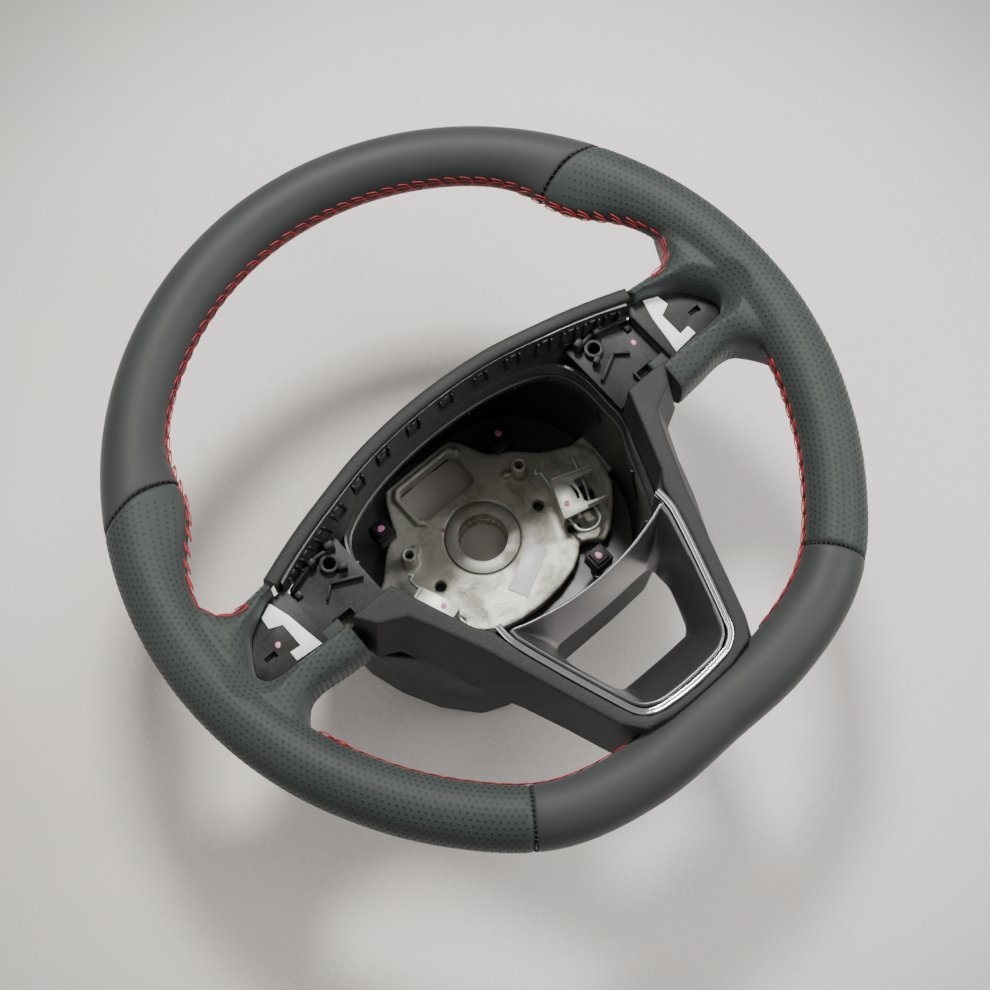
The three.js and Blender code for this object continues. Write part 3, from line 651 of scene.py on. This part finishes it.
for side, tag in SIDES:
    carrier = round_edges(copy_of("switch_carrier_" + tag, "switch_carrier_plate_" + tag), 0.5)
    install(carrier, CARRIER_BLACK, "carrier_plastic", "switch_carrier_" + tag, angle=35)
    install(carrier_fittings(side, "switch_carrier_fittings_" + tag), CARRIER_BLACK, "carrier_plastic", angle=35)
    pad = round_edges(copy_of("adhesive_pad_" + tag, "adhesive_tape_" + tag), 0.22)
    install(pad, TAPE, "pad_white", "adhesive_pad_" + tag, angle=40)
    paint_dab("paint_dab_carrier_" + tag, *CARRIER_DABS[tag], 1.5)

# ---- upper shroud ----
# The arched trim between the spokes: grained plastic, a rounded upper edge and a glossy lip
# that the airbag's cover butts against.
RIM_Z = 130
SHROUD_LINE = [(117.2, 23), (96, 30.5), (73, 37), (39, 44.5), (0, 47.2)]
SHROUD_SECTION = [(-3.5, -27), (-1.5, -10), (-0.5, -2.6), (-0.1, -0.9), (0.6, 0.4), (1.6, 1.0), (3.4, 1.2),
                  (5.6, 1.1), (6.6, 0.7), (7.1, -0.1), (7.25, -1.2), (7.6, -14.5), (5.6, -14.5), (5.3, -2.2),
                  (2.6, -2.0), (0.8, -11), (-1.2, -27)]


def spanned(half):
    """A line from one side of the wheel to the other, from its half up to the middle."""
    return half + [(-x, *rest) for x, *rest in reversed(half[:-1])]


shroud_line = smooth_line([(x, y, RIM_Z) for x, y in spanned(SHROUD_LINE)], 97)
shroud = sweep("upper_shroud_trim", shroud_line, [(-a, b) for a, b in SHROUD_SECTION])
install(shroud, GRAINED, "shroud_plastic", "upper_shroud", angle=50)

# ---- shroud wall ----
# The glossy black wall that drops from the shroud's lip to the bowl. Moulded snap pockets along
# it hold the airbag's cover.
WALL_TOP = [(-112, 15.2, 128.6), (-96, 21.6, 128.6), (-73, 28.6, 128.6), (-39, 36.6, 128.6), (0, 39.4, 128.6)]
WALL_FOOT = [(-113.5, 14.2, 114.4), (-96, 19.6, 113.5), (-74, 20.5, 107), (-57, 28.7, 105), (-33, 35.2, 105),
             (0, 37.7, 105)]
WALL_THICK = 1.5
wall_top, wall_foot = smooth_line(spanned(WALL_TOP), 91), smooth_line(spanned(WALL_FOOT), 91)
sections = []
for (x0, y0, z0), (x1, y1, z1) in zip(wall_top, wall_foot):
    face = [(x0, y0, z0), ((x0 + x1) / 2, (y0 + y1) / 2 - 0.5, (z0 + z1) / 2), (x1, y1, z1)]
    sections.append(face + [(x, y + WALL_THICK, z) for x, y, z in reversed(face)])
install(skin("shroud_inner_wall", sections), WELL_BLACK, "well_plastic", angle=40)


def snap_pockets():
    """Raised frames with an open middle, each with a hook under its upper edge."""
    bars = ((-4.2, -3.0, 0, 9.5, 1.8), (3.0, 4.2, 0, 9.5, 1.8), (-4.2, 4.2, 8.6, 9.8, 1.5), (-1.6, 1.6, -0.4, 1.2, 1.4))
    parts = []
    for k in range(6, 85, 6):
        (x0, y0, z0), (x1, y1, z1) = wall_top[k], wall_foot[k]
        along = (Vector(wall_top[k + 1]) - Vector(wall_top[k - 1])).normalized()
        down = (Vector((x1, y1, z1)) - Vector((x0, y0, z0))).normalized()
        face = along.cross(down).normalized()
        if face.y > 0:
            face = -face
        base = Vector((x0, y0, z0)) + down * 2.5
        for a0, a1, d0, d1, out in bars:
            corners = [(a0, d0), (a1, d0), (a1, d1), (a0, d1)]
            rings = [[tuple(base + along * a + down * d + face * f) for a, d in corners] for f in (-0.6, out)]
            parts.append(round_edges(skin("bar", rings), 0.3))
    return join("shroud_snap_pockets", *parts)


# The pockets take the darker, rougher block plastic rather than the wall's: the darker colour is painted shade for
# their hollows.
install(snap_pockets(), BLOCK_BLACK, "well_plastic", angle=35)

# ---- lower bezel ----
# The grained lower half of the hub trim, from spoke to spoke and down to the flat of the rim.
bezel = soften(copy_of("lower_bezel", "lower_bezel_trim"), 0.85, 6)
install(bezel, GRAINED, "bezel_plastic", "lower_bezel")

# ---- trim insert ----
# The satin gunmetal funnel in the lower spoke, round an open window.
INSERT_EDGE = [(0, -84.8), (20, -83.4), (38, -79.4), (47.4, -76.6), (48.7, -81), (46.9, -88.4), (39.8, -111),
               (31.6, -134.5), (27.5, -143), (23, -146.8), (16, -149.3), (0, -150.1)]
WINDOW_EDGE = [(0, -91.5), (14, -91.1), (25, -90.6), (29.5, -91.2), (31.3, -94), (31.4, -98), (31.0, -106),
               (25.5, -121), (23.5, -125), (21.5, -127), (18.5, -127.9), (0, -128.3)]


def insert_rings():
    edge = smooth_line(both(INSERT_EDGE), 176, True)
    window = smooth_line(both(WINDOW_EDGE), 176, True)
    rings = [[(x, y, z) for x, y in grown(edge, -inset)]
             for z, inset in ((108, 0.2), (142.6, 0.2), (143.6, 0.35), (144.0, 0.8), (144.1, 1.3), (143.9, 1.9))]
    rim = rings[-1]
    for i in range(1, 25):
        deep = i / 24
        share = 1 - (1 - deep) ** 1.7
        rings.append([(a[0] + (b[0] - a[0]) * share, a[1] + (b[1] - a[1]) * share, 143.9 - 35.9 * deep)
                      for a, b in zip(rim, window)])
    return rings


insert = skin("trim_insert_funnel", insert_rings(), loop=True)


def satin_gunmetal():
    """Satin paint with a fine metal flake, on a warm dark grey."""
    made, tree, shader, place = start_material("satin_gunmetal")
    flake, cloud = noise(tree, place, 4200.0, 2.0), noise(tree, place, 30.0, 3.0)
    tone = mix_colour(tree, ramp(tree, flake, 0.35, 0.7), (0.105, 0.105, 0.11, 1), (0.155, 0.155, 0.162, 1))
    finish_material(tree, shader, tone, ramp(tree, cloud, 0.3, 0.7, 0.30, 0.36), flake, 0.06, 0.00005,
                    Metallic=0.8, Coat_Weight=0.25, Coat_Roughness=0.15)
    return made


install(insert, satin_gunmetal(), "insert_finish", "trim_insert", angle=50)

# ---- chrome strip ----
# A bright plated U clipped between the bezel and the insert, with a fine inner line.
CHROME = flat_material("bright_chrome", (0.86, 0.87, 0.89), 0.07, 0.03, 200.0, 1.0)
CHROME_LINE = [(52.6, -71.5), (52.6, -80), (50.6, -89), (43.2, -112), (35, -135.5), (31, -145), (26, -149.8),
               (18.5, -152.4), (0, -153.8)]
CHROME_SECTION = [(0.1, -4), (0.1, 0.0), (0.3, 0.4), (0.8, 0.6), (1.4, 0.55), (1.75, 0.2), (1.9, -0.5), (2.2, -0.5),
                  (2.35, 0.1), (2.7, 0.32), (3.1, 0.2), (3.35, -0.2), (3.35, -4)]
CHROME_Z = 144
chrome_line = smooth_line([(x, y, CHROME_Z) for x, y in spanned(CHROME_LINE)], 161)
chrome = sweep("chrome_strip_plated", chrome_line, CHROME_SECTION)
install(chrome, CHROME, "chrome_trim", "chrome_strip", angle=60)

# ---- smooth leather ----
# Rim cover sewn from four panels. The upper arc and the flat bottom are smooth hide, pulled
# tight over foam and turned in at the cross seams.
GRIP_R = 15.5
LEATHER = 1.2
THUMB_BULGE = 10.5
THUMB_CLOCK = 59.5
THUMB_SPREAD = 9.6
SEAM_SLANT = 3.7  # the upper cross seams lean by this many degrees each way across the grip
TOP_SEAM = 57.2
BOTTOM_SEAM = 147.1
SEAM_GAP = 0.06  # degrees between a panel's end and its cross seam
SEAM_DEPTH = 0.7
SEAM_WIDTH = 1.1
TUBE_SIDES = 56
SEAM_TURN = math.radians(172)  # where the sewn seam lies, from the grip's outer side over its top
RIM_LINE = [(0, 173.5), (30, 172), (60, 169.5), (90, 168.4), (120, 170), (135, 173), (150, 176.8), (165, 172.3),
            (180, 167.5)]


def from_top(clock):
    """Degrees from 12 o'clock, either way round."""
    return abs(((clock + 540) % 360) - 180)


def rim_radius(clock):
    """The rim line's radius at a clock angle, eased between the points of RIM_LINE."""
    angle = from_top(clock)
    i = max(1, next(k for k, (a, _) in enumerate(RIM_LINE) if a >= angle))
    (a0, r0), (a1, r1) = RIM_LINE[i - 1], RIM_LINE[i]
    t = (angle - a0) / (a1 - a0)
    before = RIM_LINE[i - 2][1] if i > 1 else r1
    after = RIM_LINE[i + 1][1] if i < len(RIM_LINE) - 1 else r0
    m0, m1 = (r1 - before) / 2, (after - r0) / 2
    return ((2 * t ** 3 - 3 * t ** 2 + 1) * r0 + (t ** 3 - 2 * t ** 2 + t) * m0
            + (-2 * t ** 3 + 3 * t ** 2) * r1 + (t ** 3 - t ** 2) * m1)


def rim_point(clock):
    angle = math.radians(clock)
    return Vector((rim_radius(clock) * math.sin(angle), rim_radius(clock) * math.cos(angle), RIM_Z))


def rim_axes(clock):
    """Centre, direction along the rim and direction outwards at a clock angle."""
    along = (rim_point(clock + 0.5) - rim_point(clock - 0.5)).normalized()
    return rim_point(clock), along, Vector((-along.y, along.x, 0))


def grip_reach(clock, turn):
    """The grip's radius at a clock angle and an angle round the grip: thumb rests bulge inwards."""
    bulge = THUMB_BULGE * math.exp(-(((from_top(clock) - THUMB_CLOCK) / THUMB_SPREAD) ** 2))
    return GRIP_R + bulge * max(0.0, -math.cos(turn)) ** 1.5


def grip_point(clock, turn, extra=0.0):
    centre, _, out = rim_axes(clock)
    reach = grip_reach(clock, turn) + extra
    return centre + out * (reach * math.cos(turn)) + Vector((0, 0, (GRIP_R + extra) * math.sin(turn)))


def grip_turn(clock, away, out):
    """The turn round the grip of a point beside its line, and how far it lies beyond the leather."""
    flat, turn = away.dot(out), math.atan2(away.z, away.dot(out)) % (2 * math.pi)
    for _ in range(3):
        turn = math.atan2(away.z / GRIP_R, flat / grip_reach(clock, turn)) % (2 * math.pi)
    skin_at = math.hypot(grip_reach(clock, turn) * math.cos(turn), GRIP_R * math.sin(turn))
    return turn, math.hypot(flat, away.z) - skin_at


def seam_dip(turn):
    """How far the sewn seam draws the leather in at a turn round the grip."""
    return SEAM_DEPTH * math.exp(-(((turn - SEAM_TURN) * GRIP_R / SEAM_WIDTH) ** 2))


def tube_ring(clock, extra, sewn=False, lean=0.0):
    turns = [2 * math.pi * k / TUBE_SIDES for k in range(TUBE_SIDES)]
    return [tuple(grip_point(clock + lean * math.cos(turn), turn, extra - (seam_dip(turn) if sewn else 0.0)))
            for turn in turns]


def tube_piece(name, start, end, hollow=True, leans=(0.0, 0.0)):
    """A leather sleeve between two clock angles, its ends turned in and leaning across the grip."""
    turn_in = ((0.0, -1.15), (0.12, -0.55), (0.3, -0.2), (0.55, 0.0))
    clocks = [(start + a, e) for a, e in turn_in]
    steps = max(2, round((end - start) / 1.2))
    clocks += [(start + 0.55 + (end - start - 1.1) * i / steps, 0.0) for i in range(1, steps)]
    clocks += [(end - a, e) for a, e in reversed(turn_in)]

    def lean(clock):
        first, last = max(0.0, 1 - (clock - start) / 20), max(0.0, 1 - (end - clock) / 20)
        return leans[0] * first + leans[1] * last

    rings = [tube_ring(c, e, hollow, lean(c)) for c, e in clocks]
    if hollow:
        rings += [tube_ring(c, -LEATHER - 0.6, lean=lean(c)) for c, _ in reversed(clocks[::3] + [clocks[-1]])]
    return skin(name, rings, loop=hollow)


def hide_group():
    """Leather: fine creased grain, pores and a slow change of tone."""
    group, into, out = skin_group("hide_grain", ("Dark", "Light"), ("Gloss low", "Gloss high"))
    place = into["Vector"]
    crease = add_node(group, "ShaderNodeTexVoronoi", {"Vector": place, "Scale": 1400.0},
                      feature="DISTANCE_TO_EDGE").outputs["Distance"]
    pores, patch = noise(group, place, 2200.0, 3.0), noise(group, place, 22.0, 4.0)
    tone = mix_colour(group, ramp(group, patch, 0.3, 0.7), into["Dark"], into["Light"])
    tone = mix_colour(group, ramp(group, pores, 0.35, 0.65, 0.0, 0.25), tone, into["Dark"])
    gloss = ramp(group, patch, 0.3, 0.7, into["Gloss low"], into["Gloss high"])
    return put_out(group, out, tone, gloss, reckon(group, "ADD", ramp(group, crease, 0.0, 0.12), pores))


HIDE_GRAIN = hide_group()
GLOSS = (0.50, 0.58)


def hide(name, dark, light):
    return skin_material(name, HIDE_GRAIN, {"Dark": (*dark, 1), "Light": (*light, 1), "Gloss low": GLOSS[0],
                                            "Gloss high": GLOSS[1]},
                         0.3, 0.00012, Specular_IOR_Level=0.32, Sheen_Weight=0.12, Sheen_Roughness=0.5)


SMOOTH_HIDE = hide("smooth_hide", (0.028, 0.032, 0.0305), (0.037, 0.042, 0.040))
PERFORATED_HIDE = hide("perforated_hide", (0.026, 0.034, 0.031), (0.036, 0.045, 0.041))

top = tube_piece("leather_sleeve_top", -TOP_SEAM + SEAM_GAP, TOP_SEAM - SEAM_GAP, leans=(-SEAM_SLANT, SEAM_SLANT))
install(top, SMOOTH_HIDE, "leather_smooth", "leather_top")
bottom = tube_piece("leather_sleeve_bottom", BOTTOM_SEAM + SEAM_GAP, 360 - BOTTOM_SEAM - SEAM_GAP)
install(bottom, SMOOTH_HIDE, "leather_smooth", "leather_bottom")

# ---- perforated leather ----
# The side panels, sewn into the spokes and turned down into the switch recesses. The foam under
# them is one moulding, so the rim and the spoke run into each other.
# Each station of a spoke: its distance out, its two edges, and its underside and top from the rim's middle.
SPOKE = [(96, -38, 24, -28, 3), (118, -36.5, 22.5, -28, 5), (130, -35.5, 21, -28, 6.5), (139, -38, 20.5, -27, 8),
         (146, -47, 25, -26.5, 9.5), (152, -60, 38, -22.5, 10), (160, -64, 46, -13.5, 9)]
RECESS = [(80, 15), (95, 15), (112, 15.6), (120.8, 15.4), (130.5, 11), (139.5, 5.6), (145.5, -2.5), (149, -9),
          (149.2, -14.5), (144.5, -19), (130, -20.2), (114, -20.6), (95, -20.6), (80, -20.6)]
RECESS_FLOOR = 118.7
SPOKE_CUT = [(60, 60), (117.7, 60), (117.7, -12), (101.5, -12), (101.5, -60), (60, -60)]


def spoke_body():
    """A spoke with rounded square sections."""
    sides = 64
    rings = []
    for x, y0, y1, z0, z1 in smooth_line(SPOKE, 49):
        ring = []
        for k in range(sides):
            turn = 2 * math.pi * (k + 0.5) / sides
            across, rise = (math.copysign(abs(c) ** 0.55, c) for c in (math.cos(turn), math.sin(turn)))
            ring.append((x, (y0 + y1) / 2 + (y1 - y0) / 2 * across,
                         RIM_Z + (z0 + z1) / 2 + (z1 - z0) / 2 * rise))
        rings.append(ring)
    return skin("spoke", rings)


def side_leather():
    """Rim and spoke grown into one, then cut by the widening mouth of the switch recess."""
    rim = tube_piece("rim", TOP_SEAM + SEAM_GAP, BOTTOM_SEAM - SEAM_GAP, hollow=False, leans=(SEAM_SLANT, 0.0))
    body = soften(join("leather_panel_right", rim, spoke_body()), 1.2, 9)
    edge = smooth_line(RECESS, 120, True)
    mouth = skin("recess", [[(x, y, RECESS_FLOOR + rise) for x, y in grown(edge, spread)]
                            for rise, spread in ((0, 0), (9, 0), (12, 0.5), (14.5, 1.6), (17, 3.4), (19.5, 6.2),
                                                 (30, 20))])
    cut_by(body, mouth, prism("step", SPOKE_CUT, 60, 200))
    return soften(body, 0.95, 3)


CROSS_SEAM_DEPTH = 0.9
CROSS_SEAM_WIDTH = 0.9
leather_right = side_leather()
for vertex in leather_right.data.vertices:
    place = vertex.co / MM
    clock = math.degrees(math.atan2(place.x, place.y))
    if not TOP_SEAM - 6 < clock < BOTTOM_SEAM + 2:
        continue
    centre, _, out = rim_axes(clock)
    away = place - centre
    turn, beyond = grip_turn(clock, away, out)
    if abs(beyond) < 1.0:
        end = min(clock - TOP_SEAM - SEAM_SLANT * math.cos(turn), BOTTOM_SEAM - clock) * 2.95  # in millimetres
        dip = seam_dip(turn) + CROSS_SEAM_DEPTH * math.exp(-((end / CROSS_SEAM_WIDTH) ** 2))
        vertex.co -= away.normalized() * dip * MM
leather_left = new_object("leather_panel_left", leather_right.data.copy())
for vertex in leather_left.data.vertices:
    vertex.co.x = -vertex.co.x
tidy_normals(leather_left)
install(leather_right, PERFORATED_HIDE, "leather_perforated", "leather_right")
install(leather_left, PERFORATED_HIDE, "leather_perforated", "leather_left")

# ---- perforations ----
# Punched holes in a staggered lattice over the side panels, each a slightly raised lip round a flat
# near-black disc of painted shade that stands in for the hole.
PITCH = 3.3
ROWS = 34
SEAM_MARGIN = 1.0  # degrees left plain beside a cross seam
SEWN_MARGIN = 4.4  # millimetres left plain beside the sewn seam
# Painted shade: the near-black finish for each lip's flat top, put where the hole's depth would lie in shade.
HOLE_SHADE = flat_material("punched_hole", (0.009, 0.010, 0.010), 0.6)


def leather_surface():
    return BVHTree.FromPolygons([v.co / MM for v in leather_right.data.vertices],
                                [tuple(p.vertices) for p in leather_right.data.polygons])


def point_cloud(name, places, facings, headings):
    made = new_piece(name, places, [])
    for label, values in (("facing", facings), ("heading", headings)):
        layer = made.data.attributes.new(label, "FLOAT_VECTOR", "POINT")
        layer.data.foreach_set("vector", [c for v in values for c in v])
    return made


def lattice_points():
    """Places and normals of the holes: rows round the grip first, then rows over the spoke."""
    surface = leather_surface()
    places, normals = [], []

    def keep(hit, normal, outward):
        places.append(tuple(hit))
        normals.append(tuple(normal if normal.dot(outward) >= 0 else -normal))

    clock = TOP_SEAM - 3.5
    while clock < BOTTOM_SEAM - SEAM_MARGIN:
        for row in range(ROWS):
            at = clock + (PITCH / 2 / 2.98 if row % 2 else 0)  # half a pitch on, in degrees
            turn = 2 * math.pi * row / ROWS
            if at > BOTTOM_SEAM - SEAM_MARGIN or abs(turn - SEAM_TURN) * GRIP_R < SEWN_MARGIN:
                continue
            if at < TOP_SEAM + SEAM_MARGIN + SEAM_SLANT * math.cos(turn):
                continue
            centre = rim_point(at)
            target = grip_point(at, turn) - centre
            hit, normal, _, distance = surface.ray_cast(centre, target.normalized())
            if hit and abs(distance - target.length) < 1.6 and abs(normal.dot(target.normalized())) > 0.7:
                keep(hit, normal, target)
        clock += math.degrees(PITCH / rim_radius(clock))

    def free(hit):
        """Whether a point lies on the spoke, clear of the grip."""
        clock_here = math.degrees(math.atan2(hit.x, hit.y))
        centre, _, out = rim_axes(clock_here)
        away = hit - centre
        return grip_turn(clock_here, away, out)[1] > 1.6 and away.dot(out) < 0

    for i in range(44):
        for j in range(40):
            x, v = 101 + i * PITCH * 0.866, -70 + (j + (i % 2) / 2) * PITCH
            for ray in (Vector((0, 0, -1)), Vector((0, 0, 1))):
                hit, normal, _, _ = surface.ray_cast(Vector((x, v, RIM_Z)) - ray * 60, ray)
                flat = 0.45 if -28 < v < 22 else 0.72  # the roll into the recess is punched too
                if hit and abs(normal.z) > flat and free(hit) and (hit.z > 129 or ray.z > 0):
                    keep(hit, normal, -ray)
            for ray in (Vector((0, -1, 0)), Vector((0, 1, 0))):
                hit, normal, _, _ = surface.ray_cast(Vector((x, 0, RIM_Z + v)) - ray * 75, ray)
                if hit and abs(normal.y) > 0.69 and free(hit):
                    keep(hit, normal, -ray)
    return places, normals


def geometry_tree(name, inputs):
    tree = bpy.data.node_groups.new(name, "GeometryNodeTree")
    tree.interface.new_socket("Geometry", in_out="INPUT", socket_type="NodeSocketGeometry")
    for label, kind, value in inputs:
        socket = tree.interface.new_socket(label, in_out="INPUT", socket_type=kind)
        if value is not None:
            socket.default_value = value
    tree.interface.new_socket("Geometry", in_out="OUTPUT", socket_type="NodeSocketGeometry")
    return tree, tree.nodes.new("NodeGroupInput"), tree.nodes.new("NodeGroupOutput")


def place_on_points(tree, into, out, unit, finish):
    """Sets a copy of the unit on every point, its Z along "facing" and its X along "heading"."""
    facing = add_node(tree, "GeometryNodeInputNamedAttribute", {"Name": "facing"}, data_type="FLOAT_VECTOR")
    heading = add_node(tree, "GeometryNodeInputNamedAttribute", {"Name": "heading"}, data_type="FLOAT_VECTOR")
    turned = add_node(tree, "FunctionNodeAxesToRotation", primary_axis="Z", secondary_axis="X")
    tree.links.new(facing.outputs["Attribute"], turned.inputs[0])
    tree.links.new(heading.outputs["Attribute"], turned.inputs[1])
    spread = add_node(tree, "GeometryNodeInstanceOnPoints", {"Points": into.outputs["Geometry"], "Instance": unit,
                                                             "Rotation": turned.outputs[0]})
    real = add_node(tree, "GeometryNodeRealizeInstances", {"Geometry": spread.outputs["Instances"]})
    painted = real.outputs["Geometry"]
    if finish:
        painted = add_node(tree, "GeometryNodeSetMaterial", {"Geometry": painted, "Material": finish}).outputs[0]
    tree.links.new(painted, out.inputs["Geometry"])


def grow(cloud, tree, values):
    """Runs a tree on a cloud of points and leaves the result as a plain mesh."""
    grower = cloud.modifiers.new("grower", "NODES")
    grower.node_group = tree
    for item in tree.interface.items_tree:
        if item.item_type == "SOCKET" and item.in_out == "INPUT" and item.name in values:
            grower[item.identifier] = values[item.name]
    return settle(cloud)


def punch_tree():
    tree, into, out = geometry_tree("punched_holes", [("Hole radius", "NodeSocketFloat", 0.0006),
                                                      ("Lip width", "NodeSocketFloat", 0.0003),
                                                      ("Lip height", "NodeSocketFloat", 0.0002)])
    foot = reckon(tree, "ADD", into.outputs["Hole radius"], into.outputs["Lip width"])
    lip = add_node(tree, "GeometryNodeMeshCone", {"Vertices": 7, "Side Segments": 1,
                                                  "Radius Top": into.outputs["Hole radius"],
                                                  "Radius Bottom": foot,
                                                  "Depth": into.outputs["Lip height"]}, fill_type="NGON")
    leather = add_node(tree, "GeometryNodeSetMaterial", {"Geometry": lip.outputs["Mesh"],
                                                         "Material": PERFORATED_HIDE})
    # the lip's flat top takes the near-black painted shade in place of a real hole
    hole = add_node(tree, "GeometryNodeSetMaterial", {"Geometry": leather.outputs[0], "Material": HOLE_SHADE,
                                                      "Selection": lip.outputs["Top"]})
    lowered = add_node(tree, "GeometryNodeTransform", {"Geometry": hole.outputs[0],
                                                       "Translation": (0.0, 0.0, -0.00008)})
    place_on_points(tree, into, out, lowered.outputs[0], None)
    return tree


def across_to(side, rows):
    """Rows of points or directions, on the right side or mirrored to the left."""
    return [(side * x, y, z) for x, y, z in rows]


PUNCHED = punch_tree()
hole_places, hole_normals = lattice_points()
for side, tag in SIDES:
    cloud = point_cloud("perforations_" + tag, across_to(side, hole_places), across_to(side, hole_normals),
                        [(0.0, 1.0, 0.0)] * len(hole_places))
    grow(cloud, PUNCHED, {"Hole radius": 0.00068, "Lip width": 0.00035})
    cloud.data.polygons.foreach_set("use_smooth", [False] * len(cloud.data.polygons))
    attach(cloud, "wheel")

# ---- red stitching ----
# Two waxed red threads cross over the inner seam, one stitch every 8 mm, from panel to panel.


def thread(tree, radius, resolution, start, middle, end):
    """A round thread on a curve through three points, with closed ends."""
    arc = add_node(tree, "GeometryNodeCurveQuadraticBezier", {"Resolution": resolution, "Start": start,
                                                              "Middle": middle, "End": end})
    profile = add_node(tree, "GeometryNodeCurvePrimitiveCircle", {"Resolution": resolution, "Radius": radius},
                       mode="RADIUS")
    return add_node(tree, "GeometryNodeCurveToMesh", {"Curve": arc.outputs[0], "Profile Curve": profile.outputs[0],
                                                      "Fill Caps": True}).outputs[0]


THREAD = flat_material("red_thread", (0.46, 0.018, 0.024), 0.45, 0.5, 2600.0)
STITCH = 8.2


def stitch_tree():
    tree, into, out = geometry_tree("cross_stitch", [("Pitch", "NodeSocketFloat", 0.0082),
                                                     ("Width", "NodeSocketFloat", 0.0062),
                                                     ("Thread", "NodeSocketFloat", 0.0003)])

    def span(start, end, bow):
        """A thread between two points given as shares of the pitch and the width, bowed across."""
        ends = []
        for along, across, height in (start, ((start[0] + end[0]) / 2, bow, 0.0004), end):
            x = reckon(tree, "MULTIPLY", into.outputs["Pitch"], along)
            y = reckon(tree, "MULTIPLY", into.outputs["Width"], across)
            ends.append(add_node(tree, "ShaderNodeCombineXYZ", {"X": x, "Y": y, "Z": height}).outputs[0])
        return thread(tree, into.outputs["Thread"], 6, *ends)

    flush = 0.0001
    threads = [span((-0.56, -0.26, flush), (0.56, -0.26, flush), 0.30),
               span((-0.56, -0.26, flush), (0.56, -0.26, flush), -0.90),
               span((-0.30, 0.40, -flush), (0.30, 0.30, flush), 0.46),
               span((0.26, 0.32, flush), (0.60, -0.26, flush), 0.12)]
    joined = tree.nodes.new("GeometryNodeJoinGeometry")
    for strand in threads:
        tree.links.new(strand, joined.inputs[0])
    smooth = add_node(tree, "GeometryNodeSetShadeSmooth", {"Geometry": joined.outputs[0]})
    place_on_points(tree, into, out, smooth.outputs[0], THREAD)
    return tree


def stitch_run(start, end):
    """Evenly spaced stitches between two clock angles: places, facings and headings."""
    clock = start
    while clock < end:
        centre, along, out = rim_axes(clock)
        facing = out * math.cos(SEAM_TURN) + Vector((0, 0, math.sin(SEAM_TURN)))
        yield tuple(grip_point(clock, SEAM_TURN, 0.1)), tuple(facing), tuple(along)
        clock += math.degrees(STITCH / (rim_radius(clock) - GRIP_R))


def fillet_run(centre, first, last):
    """Stitches round a spoke's fillet: level rays fan out from the gap until they meet the leather."""
    surface = leather_surface()
    hits = []
    steps = 120
    for i in range(steps + 1):
        angle = math.radians(first + (last - first) * i / steps)
        ray = Vector((math.cos(angle), math.sin(angle), 0))
        hit, normal, _, _ = surface.ray_cast(Vector((*centre, RIM_Z + 2.5)), ray)
        if hit and (not hits or (hit - hits[-1][0]).length > STITCH * 0.97):
            hits.append((hit, normal))
    rows = []
    for i, (hit, normal) in enumerate(hits):
        after = hits[min(i + 1, len(hits) - 1)][0] - hits[max(i - 1, 0)][0]
        rows.append((tuple(hit + normal * 0.1), tuple(normal), tuple(after.normalized())))
    return rows


SEWN_STRETCHES = ((-73.0, 74.0), (112.0, 164.0), (196.0, 248.0))
FILLETS = (((124, 42), 2, -80), ((128, -70), 38, 6))
stitch_rows = [row for start, end in SEWN_STRETCHES for row in stitch_run(start, end)]
for centre, first, last in FILLETS:
    for row in fillet_run(centre, first, last):
        stitch_rows += [across_to(side, row) for side in (1, -1)]
cloud = point_cloud("red_stitching", *[list(column) for column in zip(*stitch_rows)])
grow(cloud, stitch_tree(), {"Pitch": STITCH * MM})
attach(cloud, "wheel")

# ---- cross seams ----
# Where a smooth panel meets a perforated one, small black stitches cross the groove.
BLACK_THREAD = flat_material("black_thread", (0.012, 0.012, 0.012), 0.6)


def dash_tree():
    tree, into, out = geometry_tree("seam_dashes", [("Length", "NodeSocketFloat", 0.0021),
                                                    ("Thread", "NodeSocketFloat", 0.0003)])
    ends = []
    for share in (-0.5, 0.5):
        x = reckon(tree, "MULTIPLY", into.outputs["Length"], share)
        ends.append(add_node(tree, "ShaderNodeCombineXYZ", {"X": x, "Z": -0.0005}).outputs[0])
    dash = thread(tree, into.outputs["Thread"], 5, ends[0], (0.0, 0.0, 0.0006), ends[1])
    smooth = add_node(tree, "GeometryNodeSetShadeSmooth", {"Geometry": dash})
    place_on_points(tree, into, out, smooth.outputs[0], BLACK_THREAD)
    return tree


DASHES = 40
dashes = []
for seam, slant in ((TOP_SEAM, SEAM_SLANT), (BOTTOM_SEAM, 0), (360 - BOTTOM_SEAM, 0), (360 - TOP_SEAM, -SEAM_SLANT)):
    for k in range(DASHES):
        turn = 2 * math.pi * (k + 0.5) / DASHES
        if abs(turn - SEAM_TURN) > 0.2:
            clock = seam + slant * math.cos(turn)
            centre, along, out = rim_axes(clock)
            facing = out * math.cos(turn) + Vector((0, 0, math.sin(turn)))
            dashes.append((tuple(grip_point(clock, turn, -0.45)), tuple(facing), tuple(along)))
cloud = point_cloud("seam_threads", *[list(column) for column in zip(*dashes)])
grow(cloud, dash_tree(), {"Length": 0.0024})
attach(cloud, "wheel")

# ---- rim foam ----
# The foam lies hidden inside the leather.
foam_cover = flat_material("rim_foam_skin", (0.03, 0.03, 0.03), 0.9)
foam = skin("rim_foam_core", [tube_ring(3.0 * k, -3.5) for k in range(120)], loop=True)
install(foam, foam_cover, "rim_foam", "rim_foam")
